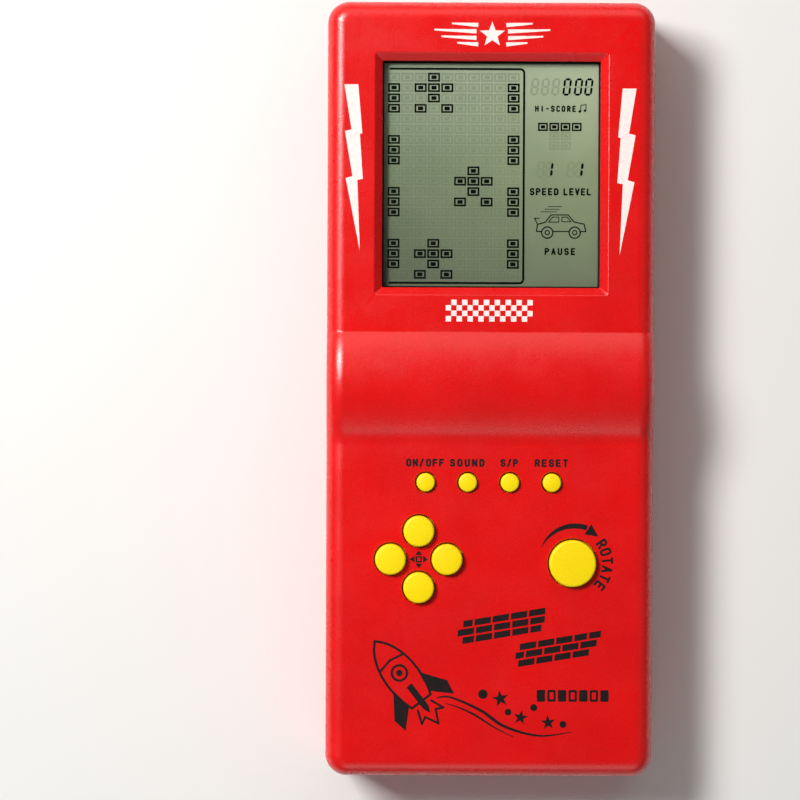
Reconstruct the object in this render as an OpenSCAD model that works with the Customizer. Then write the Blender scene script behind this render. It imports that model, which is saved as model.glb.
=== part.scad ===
// Handheld LCD block game, lying on its back.
// +X right, +Y towards the screen end, +Z out of the front face.
// The origin is the centre of the back plane.

/* [Body] */
// Width of the body
body_w = 75; // [74.5:0.1:76]
// Length of the body
body_l = 177.5; // [177:0.5:180]
// Height of the flat front face above the back plane
face_h = 23; // [22.8:0.1:23.4]
// Plan radius of the body's corners
corner_r = 5; // [4.5:0.25:6]
// Rounding between the front face and the sides
front_fillet = 4.2; // [3:0.1:4.3]
// Rounding between the back and the sides
back_fillet = 3; // [2:0.25:3.5]
// Wall thickness of both halves
wall = 2.2; // [2:0.1:2.3]
// Thickness of the back's floor
floor_t = 2; // [2:0.1:2.1]
// Height of the joint line between the two halves
parting_z = 12; // [11.5:0.25:12.25]

/* [Roll across the middle] */
// Width of the roll from crease to crease
roll_w = 24.1; // [22:0.1:26]
// Height of the roll above the front face
roll_rise = 3; // [2:0.1:4]
// Middle of the roll along the body
roll_y = 1.15; // [0.5:0.05:2]
// Hollow rounding between the roll and the keypad face
low_crease_r = 8; // [2:0.5:9]
// Hollow rounding between the roll and the screen face
high_crease_r = 1; // [0.5:0.25:3]

/* [Screen] */
// Width of the visible screen
window_w = 49.8; // [48:0.1:50]
// Length of the visible screen
window_l = 51.7; // [50:0.1:52]
// Middle of the screen along the body
window_y = 49.25; // [49:0.05:49.5]
// Width of the bevel around the screen
bevel_w = 1.8; // [1:0.1:2]
// Depth of the bevel around the screen
bevel_d = 1.6; // [1:0.1:1.7]

/* [Buttons] */
// Diameter of a direction button
pad_d = 7.05; // [6:0.05:7.1]
// Distance from the middle of the pad to each direction button
pad_offset = 6.45; // [6.4:0.05:6.8]
// Middle of the direction pad across the body
pad_x = -16.2; // [-17:0.1:-16]
// Middle of the direction pad along the body
pad_y = -38.7; // [-40:0.1:-38]
// Diameter of the rotate button
rotate_d = 10.7; // [9:0.1:11]
// Rotate button across the body
rotate_x = 18.9; // [18:0.1:20]
// Rotate button along the body
rotate_y = -39.5; // [-41:0.1:-38]
// Diameter of a function key
key_d = 4.2; // [3.5:0.1:4.4]
// Distance between neighbouring function keys
key_pitch = 9.6; // [9:0.1:10]
// Middle of the row of function keys across the body
key_x = -0.3; // [-1:0.1:1]
// Row of function keys along the body
key_y = -21.1; // [-21.3:0.1:-21]
// Gap around every button in its hole
button_gap = 0.32; // [0.3:0.01:0.4]
// Height of the large buttons above the front face
button_rise = 1.8; // [1.5:0.1:2.5]
// Height of the function keys above the front face
key_rise = 1.2; // [1:0.1:1.8]
// Travel of the large buttons
button_travel = 1.2; // [1:0.1:1.3]
// Travel of the function keys
key_travel = 0.8; // [0.6:0.1:0.9]

/* [Circuit board] */
// Width of the board
board_w = 66; // [64:0.5:67]
// Length of the board
board_l = 47.2; // [47:0.1:48]
// Upper edge of the board along the body
board_top_y = -14.8; // [-14.9:0.05:-14.7]
// Thickness of the board
board_t = 1.6; // [1.4:0.1:1.6]

/* [Battery bay] */
// Diameter of an AA cell
cell_d = 14.2; // [14:0.1:14.2]
// Length of an AA cell with its cap
cell_l = 50.5; // [49.8:0.1:50.5]
// Middle of the bay along the body
bay_y = 2.2; // [2.1:0.05:2.3]
// Inner length of the bay across the body
bay_w = 57.2; // [57:0.1:57.4]
// Inner width of the bay along the body
bay_l = 29.8; // [29.6:0.1:29.9]
// Thickness of the bay's walls
bay_wall = 1.3; // [1.1:0.1:1.3]

/* [Hidden] */
$fn = 48;
eps = 0.5;            // how far a cutter runs past the solid it cuts

// Colours
red = [0.86, 0.11, 0.12];
yellow = [0.99, 0.88, 0.10];
steel = [0.75, 0.76, 0.78];
silicone = [0.85, 0.86, 0.84];
carbon = [0.12, 0.12, 0.13];
board_green = [0.11, 0.36, 0.20];
glass_tint = [0.70, 0.78, 0.66, 0.5];

// Body form
roll_r = (pow(roll_w / 2, 2) + pow(roll_rise, 2)) / (2 * roll_rise);
roll_crest_z = face_h + roll_rise;
face_inner_z = face_h - wall;
arc_steps = 8;        // steps in each rounded plan corner
fillet_steps = 6;     // steps in each edge rounding
roll_steps = 18;      // steps across the roll
crease_steps = 4;     // steps in each crease beside the roll
floor_fillet = 1;     // rounding inside the back, where wall meets floor

// Heights of the stack behind the screen
window_t = 1.2;
gasket_t = 0.5;
polarizer_t = 0.2;
glass_t = 1.1;
reflector_t = 0.3;
window_z = face_inner_z - window_t;
gasket_z = window_z - gasket_t;
polarizer_z = gasket_z - polarizer_t;
front_glass_z = polarizer_z - glass_t;
rear_glass_z = front_glass_z - glass_t;
reflector_z = rear_glass_z - reflector_t;
frame_plate_t = 1.5;
frame_z = reflector_z - frame_plate_t;
gasket_show = 0.35;   // width of the gasket seen inside the opening
gasket_lap_x = 2.1;   // width of the gasket hidden beside the opening
gasket_lap_y = 1.9;   // width of the gasket hidden above and below it
glass_w = 56;
glass_top_y = 78.4;
ledge_y = 19.5;       // edge of the front glass that carries the contacts
seal_y = 22.6;        // lower edge of the rear glass

// Heights of the stack behind the buttons
board_z = 12.4;
board_top_z = board_z + board_t;
mat_t = 1;
cap_bottom_z = 19;
flange_t = 1.6;
pill_t = 0.5;
pill_gap = 0.1;       // what is left under a pill at full travel

// Buttons
function hole_r(d) = d / 2 + button_gap;
pad_flange_r = 4.3;
rotate_flange_r = 6.3;
key_flange_r = 3.2;
pad_pill_r = 1.9;
rotate_pill_r = 2.6;
key_pill_r = 1.3;
up_at = [pad_x, pad_y + pad_offset];
down_at = [pad_x, pad_y - pad_offset];
left_at = [pad_x - pad_offset, pad_y];
right_at = [pad_x + pad_offset, pad_y];
rotate_at = [rotate_x, rotate_y];
function key_at(i) = [key_x + (i - 1.5) * key_pitch, key_y];
power_at = key_at(0);
sound_at = key_at(1);
start_at = key_at(2);
reset_at = key_at(3);
pad_spots = [up_at, down_at, left_at, right_at];
key_spots = [power_at, sound_at, start_at, reset_at];

// Fasteners
case_boss_r = 2.8;
case_pilot_r = 1.15;
case_screw_r = 1.3;
case_screw_l = 12;
case_head_r = 2.3;
case_head_h = 1.6;
case_post_r = 3.4;
case_seat_z = 4;      // where a screw head bears inside the back
case_split_z = 8;     // where a back post meets a front boss
case_counterbore_r = 2.6;
case_clear_r = 1.5;
case_spots = [
    for (side = [-1, 1])
        for (spot = [[31.5, 82.3], [32.3, 22.5], [31, -82]])
            [side * spot[0], spot[1]]
];
small_boss_r = 2.2;
small_pilot_r = 0.85;
small_screw_r = 1;
small_head_r = 1.8;
small_head_h = 1.3;
small_clear_r = 1.15;
board_screw_l = 6;
display_screw_l = 5;
board_spots = [[-30.4, -17.6], [30.4, -17.6], [-30.4, -59.4], [30.4, -59.4], [3, pad_y]];
display_spots = [for (side = [-1, 1]) for (y = [32, 70]) [side * 32, y]];
boss_root = 0.7;      // how far a boss runs into the wall it stands on
pilot_spare = 1;      // depth of a pilot hole past its screw's tip

// Battery bay
bay_low_y = bay_y - bay_l / 2;
bay_high_y = bay_y + bay_l / 2;
bay_ceiling_z = 16.7;
cell_z = 9.7;
cell_spread = 7.5;
cell_a_y = bay_y - cell_spread;
cell_b_y = bay_y + cell_spread;
contact_t = 0.4;
contact_boss_h = 0.6;
nub_h = 1.3;
nub_r = 2.75;
wire_r = 0.55;

// Battery door
door_gap = 0.2;
door_z = 0.2;         // the door sits this far above the back plane
door_t = floor_t - door_z;
door_edge_r = door_t / 2;
ledge_low = 1.5;      // floor left standing inside the bay at the hooked edge
ledge_high = 1.2;     // floor left standing inside the bay at the latch edge
ledge_side = 1;       // floor left standing at each end of the bay
opening_w = bay_w - 2 * ledge_side;
opening_low_y = bay_low_y + ledge_low;
opening_high_y = bay_high_y - ledge_high;
door_low_y = opening_low_y + door_gap;
door_high_y = opening_high_y - door_gap;
door_w = opening_w - 2 * door_gap;
door_axis_y = door_low_y + door_edge_r;
door_axis_z = door_z + door_edge_r;
hook_w = 8;
hook_x = 16;
hook_t = 0.8;
hook_reach = 2.4;
latch_w = 12;
latch_r = 1.6;        // middle radius of the latch's U
latch_t = 1;
latch_leg_z = 6;      // where the legs turn into the U
latch_bridge = 1.2;   // tongue of the door that carries the latch
latch_y = door_high_y + latch_bridge + latch_t / 2 + latch_r;
notch_w = latch_w + 1.2;
notch_high_y = latch_y + latch_r + latch_t / 2 + 0.7;
pocket_high_y = notch_high_y + 1;
pocket_w = 14.4;
pocket_z = 9;
barb_reach = 1.1;

// Buzzer
piezo_y = -70.5;
piezo_r = 13.5;
ceramic_r = 10;
piezo_t = 0.25;
piezo_ledge_z = 3.2;
piezo_ring_r = 14.4;
piezo_ring_z = 4.6;
sound_hole_r = 0.9;
sound_ring_r = 5;

// ---------------------------------------------------------------- body form

// Distance from the middle of the roll to where a crease of radius r leaves the flat face
function crease_out(r) =
    sqrt(pow(roll_r + r, 2) - pow(face_h + r - roll_crest_z + roll_r, 2));

// Distance from the middle of the roll to where that crease meets the roll
function crease_in(r) = crease_out(r) * roll_r / (roll_r + r);

// Height of the front surface at a place along the body
function face_z(y) =
    let (
        d = abs(y - roll_y),
        r = y < roll_y ? low_crease_r : high_crease_r
    )
    d < crease_in(r) ? roll_crest_z - roll_r + sqrt(roll_r * roll_r - d * d)
    : d < crease_out(r) ? face_h + r - sqrt(r * r - pow(crease_out(r) - d, 2))
    : face_h;

// Places along the body where the front surface bends
bend_stations = concat(
    [
        for (i = [0:crease_steps])
            roll_y - crease_out(low_crease_r)
            + (crease_out(low_crease_r) - crease_in(low_crease_r)) * i / crease_steps
    ],
    [
        for (i = [1:roll_steps - 1])
            roll_y - crease_in(low_crease_r)
            + (crease_in(low_crease_r) + crease_in(high_crease_r)) * i / roll_steps
    ],
    [
        for (i = [0:crease_steps])
            roll_y + crease_in(high_crease_r)
            + (crease_out(high_crease_r) - crease_in(high_crease_r)) * i / crease_steps
    ]
);

// Right half of the plan outline, from the lower end to the screen end
function right_outline(inset) =
    let (
        cx = body_w / 2 - corner_r,
        cy = body_l / 2 - corner_r,
        r = corner_r - inset
    )
    concat(
        [for (i = [0:arc_steps]) let (a = -90 + 90 * i / arc_steps) [cx + r * cos(a), -cy + r * sin(a)]],
        [for (y = bend_stations) [cx + r, y]],
        [for (i = [0:arc_steps]) let (a = 90 * i / arc_steps) [cx + r * cos(a), cy + r * sin(a)]]
    );

// A ring is [inset, height, 1 if the height is counted down from the front surface]
function ring_points(ring) =
    let (
        right = right_outline(ring[0]),
        last = len(right) - 1,
        outline = concat(right, [for (i = [last:-1:0]) [-right[i][0], right[i][1]]])
    )
    [for (p = outline) [p[0], p[1], ring[2] == 1 ? face_z(p[1]) - ring[1] : ring[1]]];

function wall_faces(k, n) = [
    for (i = [0:n - 1])
        let (j = (i + 1) % n)
        for (tri = [[k * n + i, (k + 1) * n + i, (k + 1) * n + j], [k * n + i, (k + 1) * n + j, k * n + j]])
            tri
];

// Closes a ring with strips that run straight across the body
function cap_faces(start, n, up) = [
    for (i = [0:n / 2 - 2])
        let (
            a = start + i,
            b = start + i + 1,
            c = start + n - 2 - i,
            d = start + n - 1 - i
        )
        for (tri = up ? [[d, c, b], [d, b, a]] : [[a, b, c], [a, c, d]])
            tri
];

// Solid through a list of rings, lowest first
module ring_solid(rings) {
    points = [for (ring = rings) each ring_points(ring)];
    n = len(points) / len(rings);
    faces = concat(
        [for (k = [0:len(rings) - 2]) each wall_faces(k, n)],
        cap_faces(0, n, false),
        cap_faces((len(rings) - 1) * n, n, true)
    );
    polyhedron(points, faces);
}

// Rings of an edge rounding under the front surface
function front_rings(r, inset, drop) = [
    for (i = [0:fillet_steps])
        let (a = 90 * i / fillet_steps)
        [inset + r * (1 - cos(a)), drop + r * (1 - sin(a)), 1]
];

// Rings of an edge rounding above a flat floor
function floor_rings(r, inset, z) = [
    for (i = [0:fillet_steps])
        let (a = 90 * i / fillet_steps)
        [inset + r * (1 - sin(a)), z + r * (1 - cos(a)), 0]
];

// --------------------------------------------------------------- small tools

// Flat rectangle with rounded corners
module rounded_rect(w, l, r) {
    square([w - 2 * r, l], center = true);
    square([w, l - 2 * r], center = true);
    for (sx = [-1, 1])
        for (sy = [-1, 1])
            translate([sx * (w / 2 - r), sy * (l / 2 - r)])
                circle(r);
}

// Upright block, given its middle and its lowest height
module block(w, l, h, at, z) {
    translate([at[0] - w / 2, at[1] - l / 2, z])
        cube([w, l, h]);
}

module post(r, h, at, z) {
    translate([at[0], at[1], z])
        cylinder(r = r, h = h);
}

// Frame of a tube's section: one side along X, the other square to the route
function heading(route, i) =
    let (
        a = route[max(i - 1, 0)],
        b = route[min(i + 1, len(route) - 1)],
        d = b - a
    )
    d / norm(d);

// Tube along a route that keeps to one X
module wire(route, r, sides) {
    points = [
        for (i = [0:len(route) - 1])
            let (t = heading(route, i), up = cross([1, 0, 0], t))
            for (k = [0:sides - 1])
                let (a = 360 * k / sides)
                route[i] + r * cos(a) * [1, 0, 0] + r * sin(a) * up
    ];
    last = (len(route) - 1) * sides;
    polyhedron(points, concat(
        [[for (k = [0:sides - 1]) k]],
        [
            for (i = [0:len(route) - 2])
                for (k = [0:sides - 1])
                    let (a = i * sides, m = (k + 1) % sides)
                    for (tri = [[a + k, a + sides + k, a + m], [a + m, a + sides + k, a + sides + m]])
                        tri
        ],
        [[for (k = [sides - 1:-1:0]) last + k]]
    ));
}

// Rounded route through hand-chosen points: each corner becomes a short curve
function soft_corner(a, b, c, steps) = [
    for (i = [0:steps])
        let (
            t = i / steps,
            p = (a + b) / 2,
            q = (b + c) / 2
        )
        (1 - t) * (1 - t) * p + 2 * t * (1 - t) * b + t * t * q
];
function soft_route(pts, steps) = concat(
    [pts[0]],
    [for (i = [1:len(pts) - 2]) each soft_corner(pts[i - 1], pts[i], pts[i + 1], steps)],
    [pts[len(pts) - 1]]
);

// The halves of a soft corner meet at one point, so doubled points are dropped
function tidy_route(pts) = [
    for (i = [0:len(pts) - 1])
        if (i == 0 || norm(pts[i] - pts[max(i - 1, 0)]) > 0.01)
            pts[i]
];

// --------------------------------------------------------------- both halves

module window_cut() {
    translate([0, window_y, face_inner_z - eps])
        linear_extrude(face_h - face_inner_z + eps)
            square([window_w, window_l], center = true);
    slope = bevel_w / bevel_d;
    hull() {
        translate([0, window_y, face_h - bevel_d])
            linear_extrude(0.01)
                square([window_w, window_l], center = true);
        translate([0, window_y, face_h + eps])
            linear_extrude(0.01)
                square([window_w + 2 * slope * (bevel_d + eps),
                    window_l + 2 * slope * (bevel_d + eps)], center = true);
    }
}

module button_holes() {
    depth = face_h - face_inner_z + 2 * eps;
    for (at = pad_spots)
        post(hole_r(pad_d), depth, at, face_inner_z - eps);
    for (at = key_spots)
        post(hole_r(key_d), depth, at, face_inner_z - eps);
    post(hole_r(rotate_d), depth, rotate_at, face_inner_z - eps);
}

module front_bosses() {
    for (at = case_spots)
        post(case_boss_r, face_inner_z + boss_root - case_split_z, at, case_split_z);
    for (at = board_spots)
        post(small_boss_r, face_inner_z + boss_root - board_top_z, at, board_top_z);
    for (at = display_spots)
        post(small_boss_r, face_inner_z + boss_root - reflector_z, at, reflector_z);
}

module front_pilots() {
    for (at = case_spots)
        post(case_pilot_r, case_seat_z + case_screw_l + pilot_spare - case_split_z + eps, at,
            case_split_z - eps);
    for (at = board_spots)
        post(small_pilot_r, board_screw_l - board_t + pilot_spare / 2 + eps, at, board_top_z - eps);
    for (at = display_spots)
        post(small_pilot_r, display_screw_l - frame_plate_t + pilot_spare / 2 + eps, at, reflector_z - eps);
}

module front_shell() {
    color(red)
        difference() {
            union() {
                difference() {
                    ring_solid(concat([[0, parting_z, 0]], front_rings(front_fillet, 0, 0)));
                    ring_solid(concat([[wall, parting_z - eps, 0]],
                        front_rings(front_fillet - wall, wall, wall)));
                    window_cut();
                    button_holes();
                }
                front_bosses();
            }
            front_pilots();
        }
}

// Tongue inside the joint line that locates the two halves
module joint_lip() {
    lip_gap = 0.1;
    lip_t = 1;
    lip_h = 1.5;
    outer = wall + lip_gap;
    inner = outer + lip_t;
    // the part below the joint line ties the tongue to the wall
    tie = 1.5;
    difference() {
        translate([0, 0, parting_z - tie])
            linear_extrude(lip_h + tie)
                difference() {
                    rounded_rect(body_w - 2 * outer, body_l - 2 * outer, corner_r - outer);
                    rounded_rect(body_w - 2 * inner, body_l - 2 * inner, corner_r - inner);
                }
        for (at = case_spots)
            post(case_boss_r + 0.3, lip_h + tie + 2 * eps, at, parting_z - tie - eps);
    }
    difference() {
        translate([0, 0, parting_z - tie])
            linear_extrude(tie)
                difference() {
                    rounded_rect(body_w - wall, body_l - wall, corner_r - wall / 2);
                    rounded_rect(body_w - 2 * outer - lip_t, body_l - 2 * outer - lip_t,
                        corner_r - outer - lip_t / 2);
                }
        for (at = case_spots)
            post(case_boss_r + 0.3, tie + 2 * eps, at, parting_z - tie - eps);
    }
}

module bay_walls() {
    height = bay_ceiling_z + bay_wall - floor_t / 2;
    block(bay_w + 2 * bay_wall, bay_l + 2 * bay_wall, height, [0, bay_y], floor_t / 2);
    pocket_l = pocket_high_y - bay_high_y;
    block(pocket_w + 2 * bay_wall, pocket_l + bay_wall, pocket_z + bay_wall - floor_t / 2,
        [0, bay_high_y + (pocket_l + bay_wall) / 2], floor_t / 2);
}

module bay_space() {
    block(bay_w, bay_l, bay_ceiling_z - floor_t, [0, bay_y], floor_t);
    pocket_l = pocket_high_y - bay_high_y;
    block(pocket_w, pocket_l + bay_wall, pocket_z - floor_t,
        [0, bay_high_y + (pocket_l - bay_wall) / 2], floor_t);
    // door opening, and the notch for the latch and a fingertip
    opening_l = opening_high_y - opening_low_y;
    block(opening_w, opening_l, floor_t + 2 * eps, [0, opening_low_y + opening_l / 2], -eps);
    notch_l = notch_high_y - opening_high_y + eps;
    block(notch_w, notch_l, floor_t + 2 * eps, [0, notch_high_y - notch_l / 2], -eps);
    // ways out for the two battery wires
    for (z = [plus_wire_z, minus_wire_z])
        translate([wire_x, bay_low_y + eps, z])
            rotate([90, 0, 0])
                cylinder(r = wire_r + 0.1, h = bay_wall + 2 * eps);
}

module piezo_seat() {
    translate([0, piezo_y, floor_t / 2])
        difference() {
            cylinder(r = piezo_ring_r, h = piezo_ring_z - floor_t / 2);
            translate([0, 0, piezo_ledge_z - floor_t / 2])
                cylinder(r = piezo_r + 0.1, h = piezo_ring_z);
            translate([0, 0, -eps])
                cylinder(r = piezo_r - 1, h = piezo_ring_z + eps);
        }
}

module sound_holes() {
    post(sound_hole_r, floor_t + 2 * eps, [0, piezo_y], -eps);
    for (i = [0:5])
        post(sound_hole_r, floor_t + 2 * eps,
            [sound_ring_r * cos(60 * i), piezo_y + sound_ring_r * sin(60 * i)], -eps);
}

module back_shell() {
    color(red)
        difference() {
            union() {
                difference() {
                    ring_solid(concat(floor_rings(back_fillet, 0, 0), [[0, parting_z, 0]]));
                    ring_solid(concat(floor_rings(floor_fillet, wall, floor_t),
                        [[wall, parting_z + eps, 0]]));
                }
                joint_lip();
                bay_walls();
                for (at = case_spots)
                    post(case_post_r, case_split_z - floor_t / 2, at, floor_t / 2);
                piezo_seat();
            }
            bay_space();
            sound_holes();
            for (at = case_spots) {
                post(case_counterbore_r, case_seat_z + eps, at, -eps);
                post(case_clear_r, case_split_z + eps, at, 0);
            }
        }
}

// -------------------------------------------------------------- battery door

module battery_door() {
    grip_w = 16;
    grip_pitch = 1.6;
    grip_depth = 0.4;
    color(red)
        difference() {
            union() {
                // plate, with its hooked edge rounded about the hinge axis
                plate_l = door_high_y - door_axis_y;
                block(door_w, plate_l, door_t, [0, door_axis_y + plate_l / 2], door_z);
                translate([-door_w / 2, door_axis_y, door_axis_z])
                    rotate([0, 90, 0])
                        cylinder(r = door_edge_r, h = door_w);
                // hooks that reach over the floor inside the bay
                for (side = [-1, 1]) {
                    hook_top_z = floor_t + 0.05 + hook_t;
                    block(hook_w, hook_reach + door_edge_r, hook_t,
                        [side * hook_x, door_axis_y + (door_edge_r - hook_reach) / 2], hook_top_z - hook_t);
                    block(hook_w, door_edge_r, hook_top_z - door_axis_z,
                        [side * hook_x, door_axis_y + door_edge_r / 2], door_axis_z);
                }
                block(latch_w, latch_bridge + eps, door_t,
                    [0, door_high_y + (latch_bridge - eps) / 2], door_z);
            }
            for (i = [0:4])
                block(grip_w, grip_pitch / 2, grip_depth + eps,
                    [0, door_high_y - 3 - i * grip_pitch], door_z - eps);
        }
}

// Springy U-shaped tongue whose barb catches the edge of the floor
module door_latch() {
    outer = latch_r + latch_t / 2;
    inner = latch_r - latch_t / 2;
    leg_h = latch_leg_z - door_z;
    barb_z = floor_t + 0.1;
    color(red)
        translate([-latch_w / 2, 0, 0])
            rotate([90, 0, 90])
                linear_extrude(latch_w) {
                    translate([latch_y, latch_leg_z])
                        difference() {
                            circle(outer);
                            circle(inner);
                            translate([-outer - eps, -outer - eps])
                                square([2 * (outer + eps), outer + eps]);
                        }
                    translate([latch_y - outer, door_z])
                        square([latch_t, leg_h]);
                    translate([latch_y + inner, door_z])
                        square([latch_t, leg_h]);
                    translate([latch_y + outer, barb_z])
                        polygon([[-latch_t / 2, 0], [barb_reach, 0], [barb_reach, 0.4], [0, 1.6],
                            [-latch_t / 2, 1.6]]);
                }
}

// --------------------------------------------------------------- the display

module display_window() {
    color([0.9, 0.95, 0.95, 0.35])
        translate([0, 0, window_z])
            linear_extrude(window_t)
                translate([0, window_y + 0.15])
                    rounded_rect(57.2, 58, 1);
}

module window_gasket() {
    color([0.07, 0.07, 0.07])
        translate([0, window_y, gasket_z])
            linear_extrude(gasket_t)
                difference() {
                    square([window_w + 2 * gasket_lap_x, window_l + 2 * gasket_lap_y], center = true);
                    square([window_w - 2 * gasket_show, window_l - 2 * gasket_show], center = true);
                }
}

module display_layer(w, low_y, z, t) {
    block(w, glass_top_y - low_y, t, [0, (glass_top_y + low_y) / 2], z);
}

module front_polarizer() {
    color([0.55, 0.62, 0.48, 0.6])
        display_layer(glass_w - 1.5, seal_y, polarizer_z, polarizer_t);
}

module front_glass() {
    color(glass_tint)
        display_layer(glass_w, ledge_y, front_glass_z, glass_t);
}

module rear_glass() {
    color(glass_tint)
        display_layer(glass_w, seal_y, rear_glass_z, glass_t);
}

module reflector() {
    color([0.60, 0.67, 0.52])
        display_layer(glass_w - 1.5, seal_y, reflector_z, reflector_t);
}

// Bracket that holds the glass, open at the lower end for the ribbon
module display_frame() {
    rim_t = 1.2;
    rim_gap = 0.15;
    rim_top_z = front_glass_z + glass_t;
    inner_w = glass_w + 2 * rim_gap;
    outer_w = inner_w + 2 * rim_t;
    low_y = ledge_y - 0.3;
    high_y = glass_top_y + rim_gap + rim_t;
    mid_y = (low_y + high_y) / 2;
    light_w = 40;
    light_l = 44;
    color([0.9, 0.9, 0.88])
        difference() {
            union() {
                block(outer_w, high_y - low_y, rim_top_z - frame_z, [0, mid_y], frame_z);
                for (at = display_spots)
                    hull() {
                        post(small_boss_r, frame_plate_t, at, frame_z);
                        block(1, 2 * small_boss_r + 2, frame_plate_t,
                            [sign(at[0]) * (outer_w / 2 - 0.5), at[1]], frame_z);
                    }
            }
            block(inner_w, glass_top_y + rim_gap - low_y + eps, rim_top_z,
                [0, (glass_top_y + rim_gap + low_y - eps) / 2],
                reflector_z);
            block(light_w, light_l, frame_plate_t + 2 * eps, [0, window_y], frame_z - eps);
            for (at = display_spots)
                post(small_clear_r, frame_plate_t + 2 * eps, at, frame_z - eps);
        }
}

// Flat cable from the glass, over the battery bay, to the board
ribbon_t = 0.2;
ribbon_w = 48;
ribbon_glass_z = front_glass_z - ribbon_t / 2;
ribbon_board_z = board_top_z + ribbon_t / 2;
ribbon_points = [
    [22.4, ribbon_glass_z], [19.1, ribbon_glass_z], [18.9, 18.9], [17.5, 19.2], [10, 19.3],
    [-9, 19.3], [-13.6, 19.2], [-14.8, 17.6], [-14.95, 15.2], [-15.4, ribbon_board_z],
    [-16.8, ribbon_board_z]
];

// A strip's outline: the route moved half its thickness to each side
function strip_side(route, i, offset) =
    let (t = heading(route, i))
    route[i] + offset * [-t[1], t[0]];

module display_ribbon() {
    route = ribbon_points;
    last = len(route) - 1;
    color([0.80, 0.72, 0.50])
        translate([-ribbon_w / 2, 0, 0])
            rotate([90, 0, 90])
                linear_extrude(ribbon_w)
                    polygon(concat(
                        [for (i = [0:last]) strip_side(route, i, ribbon_t / 2)],
                        [for (i = [last:-1:0]) strip_side(route, i, -ribbon_t / 2)]
                    ));
}

// ------------------------------------------------------------- circuit board

module circuit_board() {
    color(board_green)
        difference() {
            block(board_w, board_l, board_t, [0, board_top_y - board_l / 2], board_z);
            for (at = board_spots)
                post(small_clear_r, board_t + 2 * eps, at, board_z - eps);
        }
}

// Epoxy over the bare chip, a low dome under the board
module chip_blob() {
    blob_r = 8;
    blob_h = 1.7;
    ball_r = (blob_r * blob_r + blob_h * blob_h) / (2 * blob_h);
    color([0.06, 0.06, 0.06])
        translate([-13, -37, board_z])
            intersection() {
                translate([0, 0, ball_r - blob_h])
                    sphere(ball_r, $fn = 96);
                translate([0, 0, -blob_h])
                    cylinder(r = blob_r, h = blob_h);
            }
}

module resistor(at) {
    body_r = 0.9;
    body_len = 4;
    lead_r = 0.25;
    span = 7;
    drop = 1.1;
    translate([at[0], at[1], board_z - drop]) {
        translate([-body_len / 2, 0, 0])
            rotate([0, 90, 0])
                cylinder(r = body_r, h = body_len);
        translate([-span / 2, 0, 0])
            rotate([0, 90, 0])
                cylinder(r = lead_r, h = span);
        for (side = [-1, 1])
            translate([side * span / 2, 0, -lead_r])
                cylinder(r = lead_r, h = drop + lead_r);
    }
}

module resistors() {
    color([0.82, 0.70, 0.48])
        for (at = [[14, -24], [14, -27.5], [-2, -52]])
            resistor(at);
}

module ceramic_capacitor(at) {
    disc_r = 2;
    disc_t = 1.6;
    lead_r = 0.25;
    stand = 1;
    translate([at[0], at[1], board_z - stand - disc_r]) {
        translate([0, disc_t / 2, 0])
            rotate([90, 0, 0])
                cylinder(r = disc_r, h = disc_t);
        for (side = [-1, 1])
            translate([side * 1.25, 0, 0])
                cylinder(r = lead_r, h = stand + disc_r);
    }
}

module ceramic_capacitors() {
    color([0.80, 0.45, 0.15])
        for (at = [[-24, -24], [22, -31], [-24, -54]])
            ceramic_capacitor(at);
}

module filter_capacitor() {
    can_r = 2.5;
    can_h = 7;
    lip = 0.25;
    seal_h = 1;
    color([0.10, 0.12, 0.30])
        translate([22, -50, board_z - can_h])
            rotate_extrude()
                polygon([
                    [0, 0], [can_r - lip, 0], [can_r, lip],
                    [can_r, can_h - seal_h - 2 * lip], [can_r - lip, can_h - seal_h - lip],
                    [can_r, can_h - seal_h], [can_r, can_h], [0, can_h]
                ]);
}

module buzzer_transistor() {
    can_r = 2.3;
    can_h = 4.6;
    stand = 1.5;
    flat_y = 1.1;
    lead_r = 0.25;
    lead_pitch = 1.27;
    color([0.07, 0.07, 0.08])
        translate([9, -54, board_z - stand - can_h]) {
            difference() {
                cylinder(r = can_r, h = can_h);
                translate([-can_r - eps, flat_y, -eps])
                    cube([2 * (can_r + eps), can_r, can_h + 2 * eps]);
            }
            for (i = [-1:1])
                translate([i * lead_pitch, 0, can_h - eps])
                    cylinder(r = lead_r, h = stand + eps);
        }
}

// ------------------------------------------------------------------- buttons

// Cap with a flange under the front face; its blind bore saves plastic
module button_cap(at, d, flange_r, rise) {
    r = d / 2;
    edge = min(0.8, r * 0.3);
    crown = 0.25;
    top = face_h + rise;
    bore_r = r - 1.3;
    crown_start = r - edge;
    ball_r = (crown_start * crown_start + crown * crown) / (2 * crown);
    steps = 6;
    color(yellow)
        translate([at[0], at[1], 0])
            rotate_extrude()
                polygon(concat(
                    [[bore_r, cap_bottom_z], [flange_r, cap_bottom_z], [flange_r, cap_bottom_z + flange_t]],
                    [[r, cap_bottom_z + flange_t]],
                    [
                        for (i = [0:steps])
                            let (a = 90 * i / steps)
                            [r - edge * (1 - cos(a)), top - crown - edge * (1 - sin(a))]
                    ],
                    [
                        for (i = [steps - 1:-1:0])
                            let (x = crown_start * i / steps)
                            [x, top - ball_r + sqrt(ball_r * ball_r - x * x)]
                    ],
                    [[0, face_h - 0.4], [bore_r, face_h - 0.4]]
                ));
}

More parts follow.
